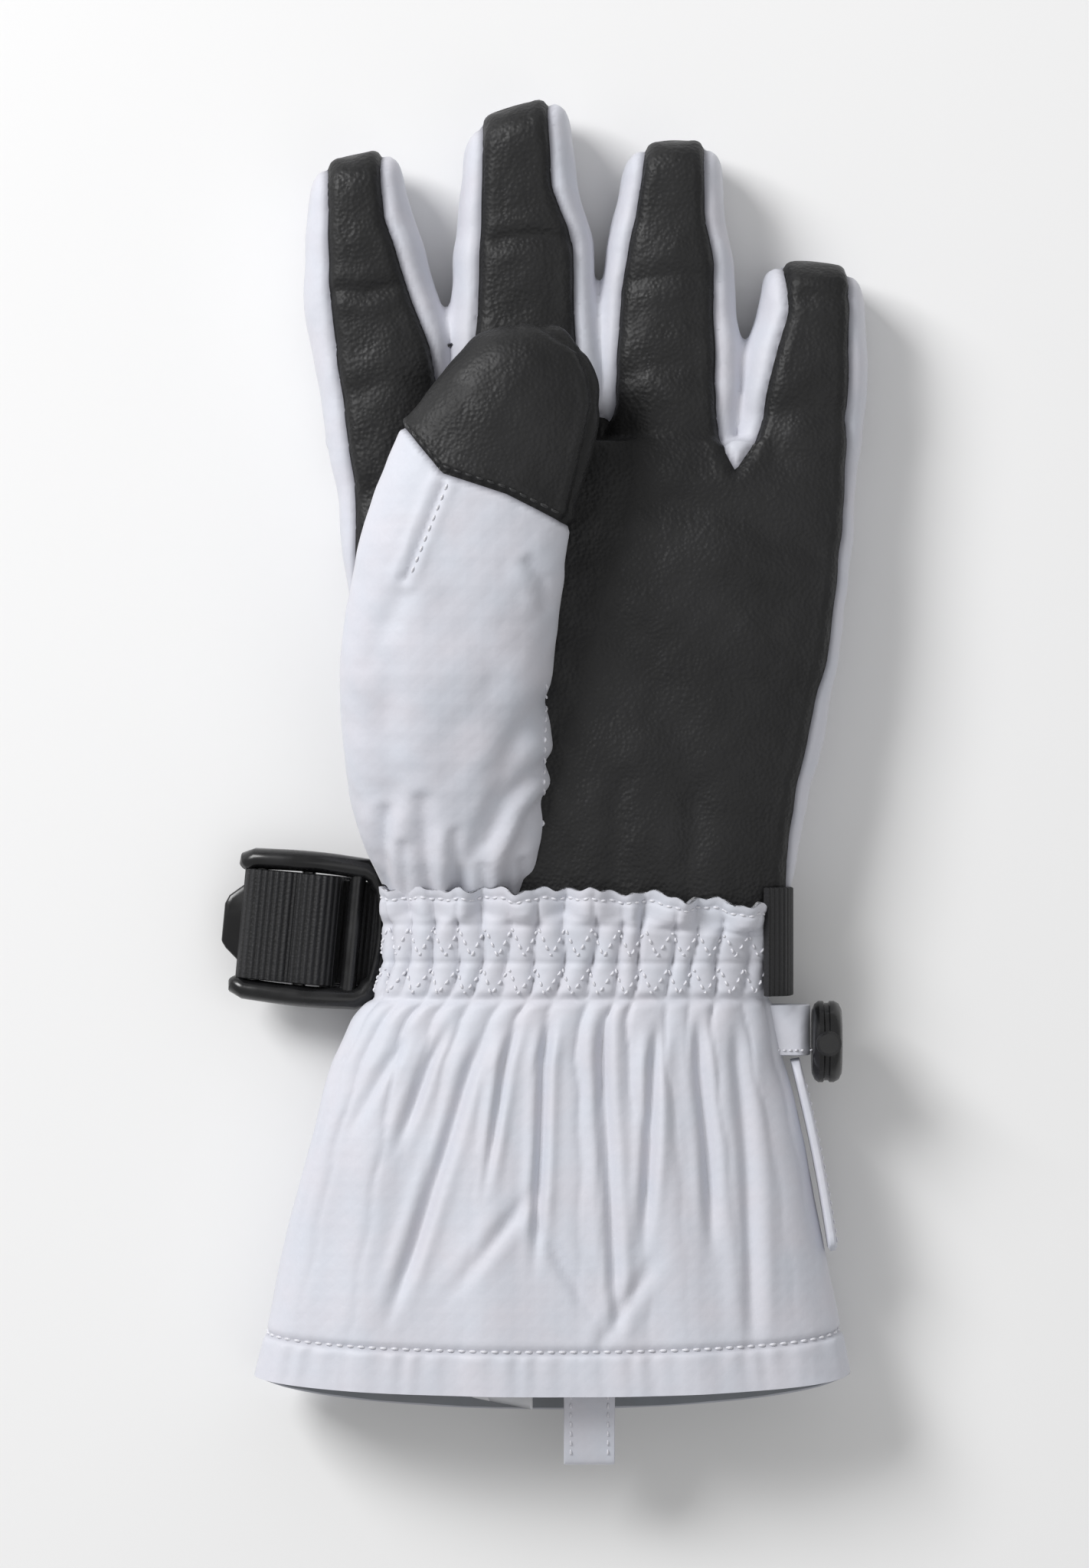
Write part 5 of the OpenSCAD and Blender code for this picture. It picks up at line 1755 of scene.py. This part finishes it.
@dataclass
class CordLock:
    """The cord lock at the little-finger side, its cloth loop and its pull tab."""

    layout: Layout
    wardrobe: Wardrobe
    lean: float = 11.3

    def lathe(self, name: str, profile: list[tuple[float, float]], centre: tuple[float, float, float],
              axis: str, steps: int = 48) -> bpy.types.Object:
        """Spin a profile of radius and height into a turned piece.

        Args:
            name: The piece's name.
            profile: Radius and height pairs, in millimetres.
            centre: Where its axis stands in the drawing.
            axis: The axis it is turned about, X or Z.
            steps: Steps in the spin.

        Returns:
            The turned piece.
        """
        middle = Vector(self.layout.point(*centre))
        mesh = bpy.data.meshes.new(name)
        points = []
        for radius, height in profile:
            offset = Vector((height, radius, 0)) if axis == "X" else Vector((radius, 0, height))
            points.append(middle + offset * MM)
        mesh.from_pydata(points, [(i, i + 1) for i in range(len(points) - 1)], [])
        piece = bpy.data.objects.new(name, mesh)
        bpy.context.scene.collection.objects.link(piece)
        select_only(piece)
        bpy.ops.object.mode_set(mode="EDIT")
        bpy.ops.mesh.select_all(action="SELECT")
        way = (1, 0, 0) if axis == "X" else (0, 0, 1)
        bpy.ops.mesh.spin(steps=steps, angle=2 * math.pi, center=middle, axis=way)
        bpy.ops.mesh.select_all(action="SELECT")
        bpy.ops.mesh.remove_doubles(threshold=0.00001)
        bpy.ops.mesh.normals_make_consistent(inside=False)
        bpy.ops.object.mode_set(mode="OBJECT")
        return piece

    def body(self) -> None:
        """Turn the lock's barrel, with a dished outer face and a ribbed rim."""
        low, high = self.layout.drawn("lock_body")
        centre = tuple((low + high) / 2)
        r, t = (high[2] - low[2]) / 2, (high[0] - low[0]) / 2
        profile = [(0.0, -t), (r - 1.6, -t), (r - 0.5, -t + 0.5), (r, -t + 1.2), (r, -0.7), (r - 0.35, -0.45),
                   (r - 0.35, 0.25),
                   (r, 0.5), (r, t - 1.4), (r - 0.5, t - 0.5), (r - 1.5, t), (r - 2.3, t - 0.1),
                   (r - 3.0, t - 0.75),
                   (2.4, t - 0.95), (1.8, t - 0.3), (0.0, t - 0.2)]
        barrel = joined_up("cord_lock_barrel", [self.lathe("barrel", profile, centre, "X")],
                           self.wardrobe.plastic)
        stow(settle(barrel, 0.0, smooth=35.0), "moulded_plastic", Body.HAND, "lock_body")
        low, high = self.layout.drawn("lock_plunger")
        top, foot = high[2], low[2]
        centre = ((low[0] + high[0]) / 2, (low[1] + high[1]) / 2, foot)
        height = top - foot
        profile = [(0.0, 0.0), (1.5, 0.0), (1.7, 0.3), (1.7, height - 2.2), (2.3, height - 1.9),
                   (2.3, height - 0.5),
                   (1.8, height), (0.0, height)]
        plunger = joined_up("cord_lock_plunger", [self.lathe("plunger", profile, centre, "Z", 28)],
                            self.wardrobe.plastic)
        stow(settle(plunger, 0.0, smooth=35.0), "moulded_plastic", Body.PLUNGER, "lock_plunger")

    def trims(self) -> None:
        """Fold the cloth loop that holds the lock and the pull tab that hangs from it."""
        low, high = self.layout.drawn("lock_loop")
        y, z = (low[1] + high[1]) / 2, (low[2] + high[2]) / 2
        out = high[0] - 2.6
        path = [(low[0] + 0.4, y, z + 2.9)] + [(out + 2.2 * math.cos(math.radians(a)), y,
                    z + 2.9 * math.sin(math.radians(a)))
                    for a in range(90, -91, -18)] + [(low[0] + 0.4, y, z - 2.9)]
        loop = ribbon_mesh("lock_loop_tape", self.layout, path, high[1] - low[1] - 0.2, 0.85, (0, 1, 0),
                           self.wardrobe.cloth)
        stow(loop, "shell_fabric", Body.HAND, "lock_loop")
        spans = []
        for z_at in np.arange(z - 2.2, z + 2.4, 1.1):
            start = Vector(self.layout.point(out + 2.65, low[1] + 1.1, z_at))
            spans.append((start, start + Vector((0, 0, 0.8 * MM)), Vector((1, 0, 0))))
        for x_at in np.arange(low[0] + 0.8, out + 1.4, 1.1):
            start = Vector(self.layout.point(x_at, low[1] + 1.1, z + 3.35))
            spans.append((start, start + Vector((0.7 * MM, 0, 0)), Vector((0, 0, 1))))
        stow(sewn("lock_loop_stitches", spans, 0.22, self.wardrobe.pale_thread), "shell_fabric", Body.HAND)
        low, high = self.layout.drawn("pull_tab")
        turn = math.radians(self.lean)
        length, wide, thick = 36.0, (high[2] - low[2]) - 0.2, 1.7
        z = (low[2] + high[2]) / 2
        root = np.array([low[0] + 0.7, high[1], z])
        way = np.array([math.sin(turn), -math.cos(turn), 0.0])
        side = np.array([math.cos(turn), math.sin(turn), 0.0])
        rows, rings = np.linspace(0, 1, 60) ** 1.2, []
        for s in rows:
            near = (1 - s) * length
            corner = 2.4
            half = wide / 2 - (corner - math.sqrt(max(corner ** 2 - (corner - near) ** 2, 0.0))
                               if near < corner else 0.0)
            from_top = s * length
            if from_top < wide / 2:
                half = max(math.sqrt(wide * from_top - from_top ** 2), 0.5)
            bow = 0.5 * math.sin(math.pi * s)
            centre = root + way * (s * length) + side * bow
            soft = thick / 2 * (1.0 if near > 0.5 else 0.6)
            section = []
            for angle in np.linspace(0, 2 * np.pi, 40, endpoint=False):
                c, k = math.cos(angle), math.sin(angle)
                flat = half * math.copysign(abs(c) ** 0.28, c)
                section.append(centre + np.array([0, 0, 1.0]) * flat
                               + side * (soft * math.copysign(abs(k) ** 0.6, k)))
            rings.append(np.array(section))
        skin = Skin.from_rings(rings)
        skin.data["seam"] = np.zeros(len(skin.points))
        skin.data["normal"] = skin.normals()
        tab = skin.build("cinch_pull_tab", self.layout, self.wardrobe.cloth)
        stow(tab, "shell_fabric", Body.TAB, "pull_tab")
        spans = []
        for s in np.arange(4.6, length - 1.6, 1.7):
            for edge in (-1, 1):
                spot = (root + way * s + side * (thick / 2 + 0.5 * math.sin(math.pi * s / length))
                        + np.array([0, 0, edge * (wide / 2 - 1.3)]))
                ends = [Vector(self.layout.cloud((spot + way * d)[None, :])[0]) for d in (0.0, 1.1)]
                spans.append((ends[0], ends[1], Vector(side)))
        stow(sewn("pull_tab_stitches", spans, 0.2, self.wardrobe.pale_thread), "shell_fabric", Body.TAB)

    def spring(self) -> None:
        """Give the lock's hidden spring its finish."""
        for piece in bpy.data.objects:
            if piece.name == "lock_spring":
                piece.data.materials.clear()
                piece.data.materials.append(self.wardrobe.steel)

    def dress(self) -> None:
        """Build the lock and its trims."""
        self.body()
        self.trims()
        self.spring()


@dataclass
class HemTrims:
    """The hanging loop and the care label inside the palm side of the hem."""

    layout: Layout
    wardrobe: Wardrobe

    def dress(self) -> None:
        """Build the loop and the label."""
        low, high = self.layout.drawn("hang_loop")
        x = (low[0] + high[0]) / 2
        top, foot = high[1], low[1] + 0.2
        z_top, z_low = high[2] - 0.9, low[2] + 0.9
        slope = (z_top - 1.3 - z_low) / (top - foot)
        path = [(x, top, z_top), (x, (top + foot) / 2, z_top - slope * (top - foot) / 2 + 0.4),
                (x, foot + 2.2, z_low + 2.9)]
        path += [(x, foot + 1.1 - 0.9 * math.cos(math.radians(a)),
                  z_low + 1.4 + 1.1 * math.sin(math.radians(a))) for a in range(60, -91, -30)]
        path += [(x, foot + 3.0, z_low + 1.0), (x, (top + foot) / 2, z_top - 2.6 - slope * (top - foot) / 2),
                 (x, top, z_top - 2.7)]
        loop = ribbon_mesh("hanging_loop_tape", self.layout, path, high[0] - low[0], 0.85, (1, 0, 0),
                           self.wardrobe.cloth, 0.3)
        stow(loop, "shell_fabric", Body.LOOP, "hang_loop")
        cloth = Cloth([loop])
        spans = []
        for side in (-1, 1):
            edge = x + side * ((high[0] - low[0]) / 2 - 1.3)
            for start, end in walk([(edge, top - 3.0), (edge, foot + 1.2)], 1.75, 0.62):
                first, last = cloth.down(self.layout, *start), cloth.down(self.layout, *end)
                if first and last:
                    spans.append((first[0], last[0], first[1]))
        stow(sewn("hanging_loop_stitches", spans, 0.21, self.wardrobe.pale_thread), "shell_fabric", Body.LOOP)
        low, high = self.layout.drawn("care_label")
        rings = []
        for s in np.linspace(0, 1, 24):
            y = high[1] + (low[1] - 1.0 - high[1]) * s
            drop = -1.6 * s ** 3
            u = np.linspace(-1, 1, 21)
            xs = (low[0] + high[0]) / 2 + u * (high[0] - low[0]) / 2
            wave = 0.25 * np.sin(u * 3.0 + s * 4)
            upper = np.stack([xs, np.full(21, y) - 1.2 * s * u, (low[2] + high[2]) / 2 + drop * (1 + 0.4 * u)
                              + wave + 0.16], 1)
            lower = upper[::-1] - np.array([0, 0, 0.32])
            rings.append(np.concatenate([upper, lower]))
        skin = Skin.from_rings(rings)
        skin.data["seam"] = np.zeros(len(skin.points))
        label = skin.build("care_label_tape", self.layout, self.wardrobe.label)
        stow(label, "label_tape", Body.HAND, "care_label")


@dataclass
class Studio:
    """A pale floor, soft light from the upper left and a camera looking straight down."""

    view_height: float = 0.292
    camera_height: float = 1.3
    far_limit: float = 20.0
    floor_size: float = 6.0
    floor_grey: float = 0.86
    air_strength: float = 0.42
    key: tuple[tuple[float, float, float], float, float] = ((-0.9, 0.75, 0.95), 0.6, 19.0)
    fill: tuple[tuple[float, float, float], float, float] = ((0.6, -0.3, 1.6), 1.4, 3.5)

    def floor(self) -> None:
        """Lay the floor."""
        bpy.ops.object.select_all(action="DESELECT")
        bpy.ops.mesh.primitive_plane_add(size=self.floor_size)
        floor = bpy.context.object
        floor.name = "floor"
        g = Graph("studio_floor", (self.floor_grey,) * 3, 0.8, Specular_IOR_Level=0.1)
        tone = g.ramp(g.noise(300.0, 2.0), [(0.3, (0.855, 0.855, 0.857)), (0.7, (0.865, 0.865, 0.865))])
        floor.data.materials.append(g.finish(tone))

    def lamp(self, name: str, place: tuple[float, float, float], size: float, power: float) -> None:
        """Hang one soft square lamp that faces the glove."""
        data = bpy.data.lights.new(name, "AREA")
        data.shape, data.size, data.energy = "SQUARE", size, power
        lamp = bpy.data.objects.new(name, data)
        lamp.location = place
        lamp.rotation_euler = (Vector((0, 0, 0)) - Vector(place)).to_track_quat("-Z", "Y").to_euler()
        bpy.context.scene.collection.objects.link(lamp)

    def light(self) -> None:
        """Light the scene."""
        world = bpy.data.worlds.new("studio_air")
        world.use_nodes = True
        world.node_tree.nodes["Background"].inputs["Color"].default_value = (1.0, 1.0, 1.0, 1.0)
        world.node_tree.nodes["Background"].inputs["Strength"].default_value = self.air_strength
        bpy.context.scene.world = world
        bpy.context.scene.view_settings.view_transform = "Standard"
        self.lamp("key_lamp", *self.key)
        self.lamp("fill_lamp", *self.fill)

    def camera(self) -> None:
        """Set the camera above the middle of the glove."""
        low, high = CAD_BOX
        data = bpy.data.cameras.new("camera")
        data.sensor_fit = "VERTICAL"
        data.angle = 2 * math.atan(self.view_height / 2 / self.camera_height)
        data.clip_end = self.far_limit
        camera = bpy.data.objects.new("camera", data)
        camera.location = ((low[0] + high[0]) / 2, (low[1] + high[1]) / 2, self.camera_height)
        bpy.context.scene.collection.objects.link(camera)
        bpy.context.scene.camera = camera


def main() -> None:
    """Build the glove, dress it and set the studio."""
    logging.basicConfig(level=logging.INFO, format="%(message)s")
    layout = Layout.from_frame()
    studio = Studio()
    studio.camera()
    wardrobe = Wardrobe.fill()
    Hand(layout, wardrobe).dress()
    Thumb(layout, wardrobe).dress()
    Cuff(layout, wardrobe).dress()
    Buckle(layout, wardrobe).dress()
    CordLock(layout, wardrobe).dress()
    HemTrims(layout, wardrobe).dress()
    studio.floor()
    studio.light()


if __name__ == "__main__":
    main()
